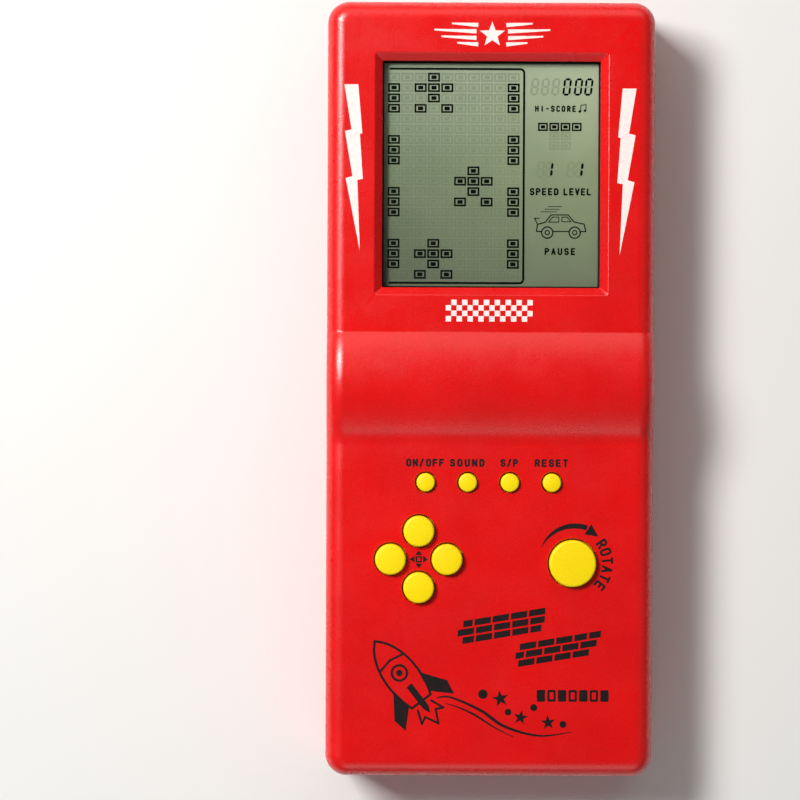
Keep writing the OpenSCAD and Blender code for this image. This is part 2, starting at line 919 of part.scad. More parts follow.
module up_button() { button_cap(up_at, pad_d, pad_flange_r, button_rise); }
module down_button() { button_cap(down_at, pad_d, pad_flange_r, button_rise); }
module left_button() { button_cap(left_at, pad_d, pad_flange_r, button_rise); }
module right_button() { button_cap(right_at, pad_d, pad_flange_r, button_rise); }
module rotate_button() { button_cap(rotate_at, rotate_d, rotate_flange_r, button_rise); }
module power_button() { button_cap(power_at, key_d, key_flange_r, key_rise); }
module sound_button() { button_cap(sound_at, key_d, key_flange_r, key_rise); }
module start_button() { button_cap(start_at, key_d, key_flange_r, key_rise); }
module reset_button() { button_cap(reset_at, key_d, key_flange_r, key_rise); }

// Carbon pill that closes the contact under a button
module contact_pill(at, r, travel) {
    color(carbon)
        post(r, pill_t, at, board_top_z + travel + pill_gap);
}

module up_contact_pill() { contact_pill(up_at, pad_pill_r, button_travel); }
module down_contact_pill() { contact_pill(down_at, pad_pill_r, button_travel); }
module left_contact_pill() { contact_pill(left_at, pad_pill_r, button_travel); }
module right_contact_pill() { contact_pill(right_at, pad_pill_r, button_travel); }
module rotate_contact_pill() { contact_pill(rotate_at, rotate_pill_r, button_travel); }
module power_contact_pill() { contact_pill(power_at, key_pill_r, key_travel); }
module sound_contact_pill() { contact_pill(sound_at, key_pill_r, key_travel); }
module start_contact_pill() { contact_pill(start_at, key_pill_r, key_travel); }
module reset_contact_pill() { contact_pill(reset_at, key_pill_r, key_travel); }

// Dome under one button: a sloping skirt, a pad on top and a plunger inside
skirt_t = 0.6;
skirt_top_z = 17.6;
function mat_sheet_top() = board_top_z + mat_t;

module dome_outside(at, foot_r, pad_r) {
    translate([at[0], at[1], mat_sheet_top() - 0.2])
        cylinder(r1 = foot_r, r2 = pad_r, h = skirt_top_z - mat_sheet_top() + 0.2);
    post(pad_r, cap_bottom_z - skirt_top_z, at, skirt_top_z);
}

module dome_inside(at, foot_r, pad_r) {
    translate([at[0], at[1], board_top_z - eps])
        cylinder(r1 = foot_r - skirt_t, r2 = pad_r - skirt_t,
            h = skirt_top_z - board_top_z + eps - skirt_t);
}

module dome_plunger(at, pill_r, travel) {
    pill_top_z = board_top_z + travel + pill_gap + pill_t;
    post(pill_r - 0.1, skirt_top_z - pill_top_z, at, pill_top_z);
}

module dome_mat(spots, middle, w, l, foot_r, pad_r, pill_r, travel) {
    color(silicone) {
        difference() {
            union() {
                translate([middle[0], middle[1], board_top_z])
                    linear_extrude(mat_t)
                        rounded_rect(w, l, 1.5);
                for (at = spots)
                    dome_outside(at, foot_r, pad_r);
            }
            for (at = spots)
                dome_inside(at, foot_r, pad_r);
        }
        for (at = spots)
            dome_plunger(at, pill_r, travel);
    }
}

module direction_key_mat() {
    dome_mat(pad_spots, [pad_x, pad_y], 23.5, 23.5, 4.2, 3.1, pad_pill_r, button_travel);
}

module rotate_key_mat() {
    dome_mat([rotate_at], rotate_at, 16, 16, 6, 4.8, rotate_pill_r, button_travel);
}

module function_key_mat() {
    dome_mat(key_spots, [key_x, key_y], 38, 7.4, 3.2, 2.2, key_pill_r, key_travel);
}

// -------------------------------------------------------------------- buzzer

module piezo_disc() {
    color([0.80, 0.64, 0.28])
        post(piezo_r, piezo_t, [0, piezo_y], piezo_ledge_z);
}

module piezo_ceramic() {
    color([0.92, 0.91, 0.86])
        post(ceramic_r, piezo_t, [0, piezo_y], piezo_ledge_z + piezo_t);
}

module buzzer_wires() {
    rise = board_z - piezo_ledge_z - 2 * piezo_t;
    brass_z = piezo_ledge_z + piezo_t;
    ceramic_z = brass_z + piezo_t;
    sides = 8;
    color([0.75, 0.12, 0.10])
        wire(tidy_route(soft_route([
            [4, -64, ceramic_z], [4, -64, ceramic_z + rise / 2], [4, -58, 7], [4, -58, board_z]
        ], 5)), wire_r, sides);
    color([0.08, 0.08, 0.08])
        wire(tidy_route(soft_route([
            [-4, -59.2, brass_z], [-4, -59.2, brass_z + 3], [-4, -57, 9], [-4, -57, board_z]
        ], 5)), wire_r, sides);
}

// ----------------------------------------------------------------- batteries

// Cell with its cap towards +X when side is 1, towards -X when side is -1
module aa_cell(y, side) {
    tip_x = bay_w / 2 - contact_t - contact_boss_h;
    can_l = cell_l - nub_h;
    chamfer = 0.5;
    r = cell_d / 2;
    translate([side * tip_x, y, cell_z])
        rotate([0, -90 * side, 0])
            rotate_extrude($fn = 64)
                polygon([
                    [0, 0], [nub_r, 0], [nub_r, nub_h], [r - chamfer, nub_h], [r, nub_h + chamfer],
                    [r, nub_h + can_l - chamfer], [r - chamfer, nub_h + can_l], [0, nub_h + can_l]
                ]);
}

module battery_cell_a() {
    color([0.20, 0.22, 0.25])
        aa_cell(cell_a_y, 1);
}

module battery_cell_b() {
    color([0.20, 0.22, 0.25])
        aa_cell(cell_b_y, -1);
}

plate_w = 9.5;
plate_h = 9.5;

module contact_plate(side, low_y, high_y) {
    x = bay_w / 2 - contact_t / 2;
    block(contact_t, high_y - low_y, plate_h, [side * x, (low_y + high_y) / 2], cell_z - plate_h / 2);
}

// Raised button that meets a cell's cap
module contact_boss(side, y) {
    translate([side * (bay_w / 2 - contact_t / 2), y, cell_z])
        rotate([0, -90 * side, 0])
            cylinder(r1 = 2.4, r2 = 1.8, h = contact_t / 2 + contact_boss_h);
}

// Tab that carries a solder joint
module contact_tab(side, y) {
    tab_w = 3;
    tab_h = 1.6;
    block(contact_t, tab_w, tab_h + eps, [side * (bay_w / 2 - contact_t / 2), y],
        cell_z + plate_h / 2 - eps);
}

// Conical spring between a contact plate and a cell's flat end
spring_turns = 4;
spring_wire_r = 0.4;
spring_foot_r = 4.1;
spring_tip_r = 2.4;
spring_sides = 6;
spring_steps = 14;    // rings in each turn
spring_weld = 0.15;   // how far the foot turn is welded into its plate

module contact_spring(side, y) {
    plate_x = bay_w / 2 - contact_t;
    cell_end_x = cell_l - (bay_w / 2 - contact_t - contact_boss_h);
    length = plate_x + spring_weld - cell_end_x - 2 * spring_wire_r;
    rings = spring_turns * spring_steps;
    // the bends and the two flat end turns
    function along(i) =
        let (turn = i / spring_steps, free = spring_turns - 1.5)
        length * max(0, min(1, (turn - 0.75) / free));
    function mid(i) =
        let (
            a = 360 * i / spring_steps,
            r = spring_foot_r + (spring_tip_r - spring_foot_r) * i / rings
        )
        [r * cos(a), r * sin(a), spring_wire_r + along(i)];
    points = [
        for (i = [0:rings])
            let (
                a = 360 * i / spring_steps,
                out = [cos(a), sin(a), 0],
                c = mid(i)
            )
            for (k = [0:spring_sides - 1])
                let (b = 360 * k / spring_sides)
                c + spring_wire_r * (cos(b) * out + sin(b) * [0, 0, 1])
    ];
    last = rings * spring_sides;
    translate([side * (plate_x + spring_weld), y, cell_z])
        rotate([0, -90 * side, 0])
            polyhedron(points, concat(
                [[for (k = [spring_sides - 1:-1:0]) k]],
                [
                    for (i = [0:rings - 1])
                        for (k = [0:spring_sides - 1])
                            let (a = i * spring_sides, m = (k + 1) % spring_sides)
                            for (tri = [
                                [a + k, a + m, a + spring_sides + k],
                                [a + m, a + spring_sides + m, a + spring_sides + k]
                            ])
                                tri
                ],
                [[for (k = [0:spring_sides - 1]) last + k]]
            ));
}

module positive_contact() {
    color(steel) {
        contact_plate(1, cell_a_y - plate_w / 2, cell_a_y + plate_w / 2);
        contact_boss(1, cell_a_y);
        contact_tab(1, cell_a_y);
    }
}

module negative_contact() {
    color(steel) {
        contact_plate(1, cell_b_y - plate_w / 2, cell_b_y + plate_w / 2);
        contact_tab(1, cell_b_y);
        contact_spring(1, cell_b_y);
    }
}

module bridge_contact() {
    color(steel) {
        contact_plate(-1, cell_a_y - plate_w / 2, cell_b_y + plate_w / 2);
        contact_boss(-1, cell_b_y);
        contact_spring(-1, cell_a_y);
    }
}

// Both wires keep to one X, one above the other, and end on the board
wire_x = 27.6;
plus_wire_z = 14.9;
minus_wire_z = 16.05;

module battery_wire_positive() {
    color([0.75, 0.12, 0.10])
        wire(tidy_route(soft_route([
            [wire_x, cell_a_y - 1, 13.4], [wire_x, cell_a_y - 2, plus_wire_z], [wire_x, -10, plus_wire_z],
            [wire_x, -16, plus_wire_z], [wire_x, -18.6, plus_wire_z], [wire_x, -18.6, board_top_z]
        ], 5)), wire_r, 8);
}

module battery_wire_negative() {
    color([0.08, 0.08, 0.08])
        wire(tidy_route(soft_route([
            [wire_x, cell_b_y + 2.6, 14.6], [wire_x, cell_b_y + 1, minus_wire_z], [wire_x, 0, minus_wire_z],
            [wire_x, -12, minus_wire_z], [wire_x, -19, minus_wire_z], [wire_x, -22, minus_wire_z],
            [wire_x, -22, board_top_z]
        ], 5)), wire_r, 8);
}

// ------------------------------------------------------------------- screws

// Pan-head screw with its tip up and a cross in its head
module screw(at, seat_z, length, shank_r, head_r, head_h) {
    point_h = shank_r;
    slot_w = 0.3 * head_r;
    slot_l = 1.3 * head_r;
    slot_d = 0.5 * head_h;
    color(steel)
        translate([at[0], at[1], seat_z]) {
            cylinder(r = shank_r, h = length - point_h);
            translate([0, 0, length - point_h])
                cylinder(r1 = shank_r, r2 = shank_r * 0.3, h = point_h);
            difference() {
                translate([0, 0, -head_h])
                    cylinder(r = head_r, h = head_h);
                for (turn = [0, 90])
                    rotate([0, 0, turn])
                        translate([-slot_l / 2, -slot_w / 2, -head_h - eps])
                            cube([slot_l, slot_w, slot_d + eps]);
            }
        }
}

module case_screws() {
    for (at = case_spots)
        screw(at, case_seat_z, case_screw_l, case_screw_r, case_head_r, case_head_h);
}

module board_screws() {
    for (at = board_spots)
        screw(at, board_z, board_screw_l, small_screw_r, small_head_r, small_head_h);
}

module display_screws() {
    for (at = display_spots)
        screw(at, frame_z, display_screw_l, small_screw_r, small_head_r, small_head_h);
}

front_shell();
back_shell();
battery_door();
door_latch();
display_window();
window_gasket();
front_polarizer();
front_glass();
rear_glass();
reflector();
display_frame();
display_ribbon();
circuit_board();
chip_blob();
resistors();
ceramic_capacitors();
filter_capacitor();
buzzer_transistor();
function_key_mat();
direction_key_mat();
rotate_key_mat();
up_button();
down_button();
left_button();
right_button();
rotate_button();
power_button();
sound_button();
start_button();
reset_button();
up_contact_pill();
down_contact_pill();
left_contact_pill();
right_contact_pill();
rotate_contact_pill();
power_contact_pill();
sound_contact_pill();
start_contact_pill();
reset_contact_pill();
piezo_disc();
piezo_ceramic();
buzzer_wires();
battery_cell_a();
battery_cell_b();
positive_contact();
negative_contact();
bridge_contact();
battery_wire_positive();
battery_wire_negative();
case_screws();
board_screws();
display_screws();
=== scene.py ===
"""Looks of the handheld block game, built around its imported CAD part.

The lengths below are in millimetres, as on the part's own drawing. They become metres when a mesh
is made. Only the stage is given in metres.
"""

from math import asin, cos, degrees, pi, radians, sin, sqrt

import bmesh
import bpy
import numpy as np
from mathutils import Matrix, Vector
from mathutils.geometry import delaunay_2d_cdt


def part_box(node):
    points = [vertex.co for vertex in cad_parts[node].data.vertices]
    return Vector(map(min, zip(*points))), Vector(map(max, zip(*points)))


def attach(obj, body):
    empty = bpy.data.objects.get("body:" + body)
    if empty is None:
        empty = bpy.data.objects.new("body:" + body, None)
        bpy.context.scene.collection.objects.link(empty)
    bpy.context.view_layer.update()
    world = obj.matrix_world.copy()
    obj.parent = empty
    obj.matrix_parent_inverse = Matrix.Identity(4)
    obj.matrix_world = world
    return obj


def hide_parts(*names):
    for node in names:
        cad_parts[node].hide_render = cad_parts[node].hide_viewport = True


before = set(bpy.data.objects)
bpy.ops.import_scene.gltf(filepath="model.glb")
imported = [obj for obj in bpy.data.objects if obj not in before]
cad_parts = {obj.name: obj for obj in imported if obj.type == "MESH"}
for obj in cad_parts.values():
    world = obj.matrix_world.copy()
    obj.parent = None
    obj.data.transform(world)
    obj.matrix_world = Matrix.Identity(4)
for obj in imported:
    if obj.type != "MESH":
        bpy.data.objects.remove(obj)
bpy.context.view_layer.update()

MM = 0.001
TAU = 2 * pi

# ---- the drawing, mm

BODY_W, BODY_L = 75.0, 177.5
FACE_Z = 23.0
CORNER_R = 5.0
FRONT_FILLET, BACK_FILLET = 4.2, 3.0
WALL, FLOOR_T = 2.2, 2.0
PARTING_Z = 12.0
INNER_Z = FACE_Z - WALL
ROLL_W, ROLL_RISE, ROLL_Y = 24.1, 3.0, 1.15
LOW_CREASE_R, HIGH_CREASE_R = 8.0, 1.0
ROLL_R = ((ROLL_W / 2) ** 2 + ROLL_RISE**2) / (2 * ROLL_RISE)
ROLL_TOP = FACE_Z + ROLL_RISE
WINDOW_W, WINDOW_L, WINDOW_Y = 49.8, 51.7, 49.25
BEVEL_W, BEVEL_D = 1.8, 1.6
BUTTON_GAP = 0.32
CAP_LOW_Z, FLANGE_T = 19.0, 1.6
EDGE = 0.18  # rounding on the moulded edges


def middle(node):
    """Middle of a CAD node's box, in millimetres."""
    low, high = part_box(node)
    return (low + high) / 2 / MM


def crease_out(r):
    return sqrt((ROLL_R + r) ** 2 - (FACE_Z + r - ROLL_TOP + ROLL_R) ** 2)


def crease_in(r):
    return crease_out(r) * ROLL_R / (ROLL_R + r)


def face_z(y):
    """Height of the front surface at a place along the body."""
    d = abs(y - ROLL_Y)
    r = LOW_CREASE_R if y < ROLL_Y else HIGH_CREASE_R
    if d < crease_in(r):
        return ROLL_TOP - ROLL_R + sqrt(ROLL_R**2 - d * d)
    if d < crease_out(r):
        return FACE_Z + r - sqrt(r * r - (crease_out(r) - d) ** 2)
    return FACE_Z


def spread(a, b, n):
    """n + 1 even steps from a to b."""
    return [a + (b - a) * i / n for i in range(n + 1)]


BENDS = (
    spread(ROLL_Y - crease_out(LOW_CREASE_R), ROLL_Y - crease_in(LOW_CREASE_R), 8)
    + spread(ROLL_Y - crease_in(LOW_CREASE_R), ROLL_Y + crease_in(HIGH_CREASE_R), 44)[1:-1]
    + spread(ROLL_Y + crease_in(HIGH_CREASE_R), ROLL_Y + crease_out(HIGH_CREASE_R), 5)
)

# ---- mesh helpers


def circle(cx, cy, r, n=64, start=0.0):
    return [(cx + r * cos(start + TAU * i / n), cy + r * sin(start + TAU * i / n)) for i in range(n)]


def rect(cx, cy, w, l, r=0.0, n=4):
    """Corners of an upright rectangle, each rounded in n steps when r is above 0."""
    pts = []
    for k, (sx, sy) in enumerate([(1, -1), (1, 1), (-1, 1), (-1, -1)]):
        x, y = cx + sx * (w / 2 - r), cy + sy * (l / 2 - r)
        if r <= 0:
            pts.append((x, y))
            continue
        for i in range(n + 1):
            a = radians(-90 + 90 * k + 90 * i / n)
            pts.append((x + r * cos(a), y + r * sin(a)))
    return pts


def outline(inset, bends=BENDS):
    """Plan outline of the body: the right side upwards, then the left side downwards."""
    cx, cy, r = BODY_W / 2 - CORNER_R, BODY_L / 2 - CORNER_R, CORNER_R - inset
    right = [(cx + r * cos(a), -cy + r * sin(a)) for a in spread(-pi / 2, 0, 12)]
    right += [(cx + r, y) for y in bends]
    right += [(cx + r * cos(a), cy + r * sin(a)) for a in spread(0, pi / 2, 12)]
    return right + [(-x, y) for x, y in reversed(right)]


def inside(poly, pts):
    """Which of the points lie in the polygon."""
    x, y = pts[:, 0], pts[:, 1]
    hit = np.zeros(len(pts), bool)
    for (x1, y1), (x2, y2) in zip(poly, poly[1:] + poly[:1]):
        if y1 == y2:
            continue
        hit ^= ((y1 > y) != (y2 > y)) & (x < (x2 - x1) * (y - y1) / (y2 - y1) + x1)
    return hit


class Build:
    """Corners and faces of one piece, in millimetres."""

    def __init__(self):
        self.v, self.f = [], []

    def ring(self, pts):
        start = len(self.v)
        self.v += [tuple(p) for p in pts]
        return list(range(start, len(self.v)))

    def flat(self, pts, z):
        return self.ring([(x, y, z) for x, y in pts])

    def bridge(self, a, b):
        n = len(a)
        self.f += [(a[i], a[(i + 1) % n], b[(i + 1) % n], b[i]) for i in range(n)]

    def stack(self, rings):
        for a, b in zip(rings, rings[1:]):
            self.bridge(a, b)

    def cap(self, ring):
        self.f.append(tuple(ring))

    def solid(self, rings):
        """Joins rings in order and closes both ends."""
        self.stack(rings)
        self.cap(reversed(rings[0]))
        self.cap(rings[-1])

    def sheet(self, outer, holes=(), lines=()):
        """Fills the plan area between a loop and its holes, with fold lines between given corners."""
        loops = [list(outer)] + [list(h) for h in holes]
        ids = [i for loop in loops for i in loop]
        where = {i: k for k, i in enumerate(ids)}
        edges = [(where[a], where[b]) for loop in loops for a, b in zip(loop, loop[1:] + loop[:1])]
        edges += [(where[a], where[b]) for a, b in lines]
        plan = [Vector(self.v[i][:2]) for i in ids]
        out, _, tris, origin, _, _ = delaunay_2d_cdt(plan, edges, [], 0, 1e-7)
        spots = np.array([list(p) for p in out])
        tris = [t for t in tris if len(t) == 3]
        mids = np.array([spots[list(t)].mean(0) for t in tris])
        keep = inside([self.v[i][:2] for i in loops[0]], mids)
        for loop in loops[1:]:
            keep &= ~inside([self.v[i][:2] for i in loop], mids)
        for t, wanted in zip(tris, keep):
            if wanted:
                self.f.append(tuple(ids[origin[k][0]] for k in t))

    def lathe(self, profile, at=(0, 0), n=64):
        """Turns (radius, height) points about an upright axis. A radius of 0 makes a point."""
        rings = []
        for r, z in profile:
            if r <= 1e-9:
                rings.append(self.ring([(at[0], at[1], z)]) * n)
            else:
                rings.append(self.flat(circle(at[0], at[1], r, n), z))
        for a, b in zip(rings, rings[1:]):
            for i in range(n):
                j = (i + 1) % n
                quad = [a[i], a[j], b[j], b[i]]
                face = [q for k, q in enumerate(quad) if q not in quad[:k]]
                if len(face) > 2:
                    self.f.append(tuple(face))

    def prism(self, pts, z0, z1, bevel=0.0):
        """Upright prism on a plan polygon, its edges cut by a small chamfer."""
        steps = [(pts, z0), (pts, z1)]
        if bevel:
            cut = offset(pts, -bevel)
            steps = [(cut, z0), (pts, z0 + bevel), (pts, z1 - bevel), (cut, z1)]
        self.solid([self.flat(plan, z) for plan, z in steps])

    def sweep(self, route, r, n=12):
        """Round tube along a route of points, closed at both ends."""
        pts = [Vector(p) for p in route]
        up = Vector((0, 0, 1))
        rings = []
        for i, p in enumerate(pts):
            t = (pts[min(i + 1, len(pts) - 1)] - pts[max(i - 1, 0)]).normalized()
            side = t.cross(up)
            if side.length < 0.2:
                side = t.cross(Vector((1, 0, 0)))
            side.normalize()
            up = side.cross(t).normalized()
            round_it = [cos(TAU * k / n) * side + sin(TAU * k / n) * up for k in range(n)]
            rings.append(self.ring([tuple(p + r * v) for v in round_it]))
        self.solid(rings)


def offset(pts, d):
    """Moves the sides of an anticlockwise polygon outwards by d."""
    out = []
    n = len(pts)
    for i in range(n):
        a, b, c = Vector(pts[i - 1]), Vector(pts[i]), Vector(pts[(i + 1) % n])
        p, q = (b - a).normalized(), (c - b).normalized()
        m, k = Vector((p.y, -p.x)), Vector((q.y, -q.x))
        out.append(tuple(b + (m + k) * d / max(0.3, 1 + m.dot(k))))
    return out


def arc(cx, cz, r, a0, a1, n):
    """Points of an arc, angles in degrees."""
    return [(cx + r * cos(radians(a)), cz + r * sin(radians(a))) for a in spread(a0, a1, n)]


def mesh_of(build, name):
    """The piece's mesh in metres, with its faces turned outwards."""
    mesh = bpy.data.meshes.new(name)
    mesh.from_pydata([(x * MM, y * MM, z * MM) for x, y, z in build.v], [], build.f)
    bm = bmesh.new()
    bm.from_mesh(mesh)
    bmesh.ops.remove_doubles(bm, verts=bm.verts, dist=1e-8)
    bmesh.ops.recalc_face_normals(bm, faces=bm.faces)
    bm.to_mesh(mesh)
    bm.free()
    return mesh


def settle(obj, sharp=32):
    """Smooth shading that keeps flat faces flat and edges over the given angle crisp."""
    obj.data.shade_smooth()
    obj.data.set_sharp_from_angle(angle=radians(sharp))
    weigh = obj.modifiers.new("weigh", "WEIGHTED_NORMAL")
    weigh.mode = "FACE_AREA"
    weigh.keep_sharp = True
    bake_modifiers(obj)


def bake_modifiers(obj):
    """Replaces the mesh with what its modifiers make of it."""
    done = bpy.data.meshes.new_from_object(obj.evaluated_get(bpy.context.evaluated_depsgraph_get()))
    old = obj.data
    obj.modifiers.clear()
    obj.data = done
    done.name = obj.name
    bpy.data.meshes.remove(old)


def place(name, data):
    obj = bpy.data.objects.new(name, data)
    bpy.context.scene.collection.objects.link(obj)
    return obj


def loose(build, name):
    return place(name, mesh_of(build, name))


def piece(build, name, material, slot, body="housing", sharp=32, replaces=()):
    """Makes one finished piece of the object. build may also be an object made before."""
    obj = build if isinstance(build, bpy.types.Object) else loose(build, name)
    bpy.context.view_layer.update()
    settle(obj, sharp)
    obj.data.materials.clear()
    obj.data.materials.append(material)
    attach(obj, body)
    if replaces:
        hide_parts(*replaces)
    return obj


def carve(base, add=(), cut=()):
    """Joins solids to a base and then cuts others from it."""
    for operation, builds in (("UNION", add), ("DIFFERENCE", cut)):
        if not builds:
            continue
        group = bpy.data.collections.new("tools")
        tools = []
        for build in builds:
            tool = bpy.data.objects.new("tool", mesh_of(build, "tool"))
            group.objects.link(tool)
            tools.append(tool)
        bpy.context.scene.collection.children.link(group)
        step = base.modifiers.new("step", "BOOLEAN")
        step.operation = operation
        step.operand_type = "COLLECTION"
        step.collection = group
        step.solver = "EXACT"
        bpy.context.view_layer.update()
        bake_modifiers(base)
        for tool in tools:
            bpy.data.objects.remove(tool)
        bpy.data.collections.remove(group)
    return base


def box_build(x, y, z):
    """Box between two limits on each axis."""
    b = Build()
    b.prism([(x[0], y[0]), (x[1], y[0]), (x[1], y[1]), (x[0], y[1])], z[0], z[1])
    return b


def lathe_build(profile, at, n=48):
    b = Build()
    b.lathe(profile, at, n)
    return b


def along_x(shapes):
    """Solid through outlines in Y and Z, each given with its place along X."""
    b = Build()
    b.solid([b.ring([(x, y, z) for y, z in shape]) for x, shape in shapes])
    return b


def quarter(r, angles):
    """Rounding of radius r, as how far in and how far down it is at each angle."""
    return [(r * (1 - cos(a)), r * (1 - sin(a))) for a in angles]


# ---- the view

VIEW_MM = 182.5  # what the picture's side takes in at the front face
AIM_X, AIM_Y = -20.65, -2.35
TILT_DEG, LEAN_DEG = 0.9, 0.25
WORLD_LIGHT, KEY_WATTS, FILL_WATTS, LOW_WATTS = 0.2, 8.2, 2.4, 1.0
KEY_AT = (-0.47, 0.33, 0.66)

# ---- materials


def rgb(r, g, b, k=1.0):
    """Display colour, 0 to 255, as linear light."""
    out = []
    for c in (r, g, b):
        c = min(255, max(0, c * k)) / 255
        out.append(c / 12.92 if c <= 0.04045 else ((c + 0.055) / 1.055) ** 2.4)
    return (*out, 1.0)


class Shade:
    """Node tree of one material. Texture places are real ones, in metres."""

    def __init__(self, name):
        self.m = bpy.data.materials.new(name)
        self.m.use_nodes = True
        self.t = self.m.node_tree
        self.p = self.t.nodes["Principled BSDF"]
        self.out = self.t.nodes["Material Output"]
        self.co = self.t.nodes.new("ShaderNodeTexCoord").outputs["Object"]
        self.bumps = None

    def node(self, kind, sockets={}, **values):
        n = self.t.nodes.new(kind)
        for key, value in values.items():
            setattr(n, key, value)
        for key, value in sockets.items():
            self.put(n.inputs[key], value)
        return n

    def put(self, socket, value):
        if isinstance(value, bpy.types.NodeSocket):
            self.t.links.new(value, socket)
        else:
            socket.default_value = value

    def noise(self, per_m, detail=2.0, rough=0.5, stretch=(1, 1, 1), shift=0.0):
        """Noise with features of about 1 / per_m metres."""
        move = (shift, shift * 0.7, shift * 0.3)
        moved = self.node("ShaderNodeMapping", {"Vector": self.co, "Scale": stretch, "Location": move})
        sockets = {"Vector": moved.outputs["Vector"], "Scale": per_m, "Detail": detail, "Roughness": rough}
        return self.node("ShaderNodeTexNoise", sockets).outputs["Fac"]

    def ramp(self, fac, stops):
        n = self.node("ShaderNodeValToRGB", {"Fac": fac})
        ramp = n.color_ramp
        while len(ramp.elements) < len(stops):
            ramp.elements.new(0.5)
        for e, (at, colour) in zip(ramp.elements, stops):
            e.position = at
            e.color = colour if hasattr(colour, "__len__") else (colour, colour, colour, 1)
        return n.outputs["Color"]

    def tones(self, fac, colour, dark, light, low=0.3, high=0.7):
        """Ramp from a darker to a lighter tone of one display colour."""
        return self.ramp(fac, [(low, rgb(*colour, dark)), (high, rgb(*colour, light))])

    def mix(self, a, b, fac):
        return self.node("ShaderNodeMix", {"Factor": fac, "A": a, "B": b}, data_type="RGBA").outputs["Result"]

    def math(self, kind, a, b=0.0, c=0.0, clamp=False):
        sockets = {0: a, 1: b, 2: c}
        return self.node("ShaderNodeMath", sockets, operation=kind, use_clamp=clamp).outputs["Value"]

    def scaled(self, value, by, plus, clamp=False):
        return self.math("MULTIPLY_ADD", value, by, plus, clamp)

    def spot(self, axis):
        return self.node("ShaderNodeSeparateXYZ", {"Vector": self.co}).outputs[axis]

    def between(self, value, low, high):
        """0 at or below low, 1 at or above high."""
        sockets = {"Value": value, "From Min": low, "From Max": high}
        return self.node("ShaderNodeMapRange", sockets).outputs["Result"]

    def edges(self):
        """1 on outside edges, broken up by noise."""
        point = self.node("ShaderNodeNewGeometry").outputs["Pointiness"]
        broken = self.between(self.noise(900, 4, 0.65), 0.4, 0.62)
        return self.math("MULTIPLY", self.between(point, 0.52, 0.6), broken)

    def bump(self, height, depth_mm, strength=1.0):
        sockets = {"Distance": depth_mm * MM, "Strength": strength, "Height": height}
        n = self.node("ShaderNodeBump", sockets)
        if self.bumps is not None:
            self.put(n.inputs["Normal"], self.bumps)
        self.bumps = n.outputs["Normal"]
        self.put(self.p.inputs["Normal"], self.bumps)

    def scratches(self, per_m=420, amount=0.5, shift=0.0):
        """Fine hairlines in two directions."""
        a = self.noise(per_m, 1, 0.5, (1, 0.07, 0.07), shift)
        b = self.noise(per_m * 0.8, 1, 0.5, (0.09, 1, 0.07), shift + 3)
        lines = self.math("MAXIMUM", self.between(a, 0.66, 0.8), self.between(b, 0.68, 0.8))
        return self.math("MULTIPLY", lines, amount)

    def finish(self, colour, rough, **uniform):
        self.put(self.p.inputs["Base Color"], colour)
        self.put(self.p.inputs["Roughness"], rough)
        for key, value in uniform.items():
            self.p.inputs[key.replace("_", " ")].default_value = value
        return self.m


def plastic(name, colour, rough, grain=4200, grain_mm=0.012, mottle=0.04, wear=0.25, gloss=0.5, scuff=0.4):
    """Moulded plastic: spark-eroded grain, faint flow mottling, rubbed edges and hairline scuffs."""
    s = Shade(name)
    clouds = s.tones(s.noise(55, 3, 0.55), colour, 1 - mottle, 1 + mottle, 0.35, 0.65)
    specks = s.tones(s.noise(2600, 2, 0.6), colour, 1 - 2 * mottle, 1 + 2 * mottle)
    base = s.mix(clouds, specks, 0.45)
    edges = s.edges()
    base = s.mix(base, rgb(*colour, 1.12), s.math("MULTIPLY", edges, wear))
    scuffs = s.scratches(amount=scuff)
    patches = s.between(s.noise(120, 4, 0.6, shift=5.0), 0.3, 0.75)
    level = s.scaled(patches, 0.1, rough - 0.05)
    level = s.math("SUBTRACT", level, s.math("MULTIPLY", edges, 0.12))
    level = s.math("SUBTRACT", level, s.math("MULTIPLY", scuffs, 0.1), clamp=True)
    s.bump(s.noise(grain, 2, 0.6), grain_mm)
    s.bump(s.noise(45, 2, 0.5), 0.03, 0.5)
    return s.finish(base, level, Specular_IOR_Level=gloss)


def metal(name, colour, rough, stretch, per_m=1800, tint=0.08, stain=0.25):
    """Plated or rolled metal with brushing, dull patches and small marks."""
    s = Shade(name)
    lines = s.noise(per_m, 3, 0.6, stretch)
    base = s.tones(lines, colour, 1 - tint, 1 + tint)
    patches = s.between(s.noise(260, 5, 0.65, shift=2.0), 0.5, 0.75)
    base = s.mix(base, rgb(*colour, 0.6), s.math("MULTIPLY", patches, stain))
    level = s.scaled(lines, 0.16, rough - 0.08)
    level = s.scaled(patches, 0.2, level)
    s.bump(lines, 0.004)
    return s.finish(base, level, Metallic=1.0)


def ink(name, colour, rough):
    """Pad-printed ink: a thin film, slightly thinner in places, over the grained plastic."""
    s = Shade(name)
    r, g, b = colour
    thin = s.noise(700, 4, 0.65)
    base = s.ramp(thin, [(0.28, rgb(r + 26, g, b)), (0.45, rgb(r, g, b)), (0.8, rgb(r, g, b, 0.92))])
    level = s.scaled(s.noise(300, 3, 0.6), 0.2, rough - 0.1)
    s.bump(s.noise(2900, 2, 0.6), 0.02)
    return s.finish(base, level, Specular_IOR_Level=0.3)


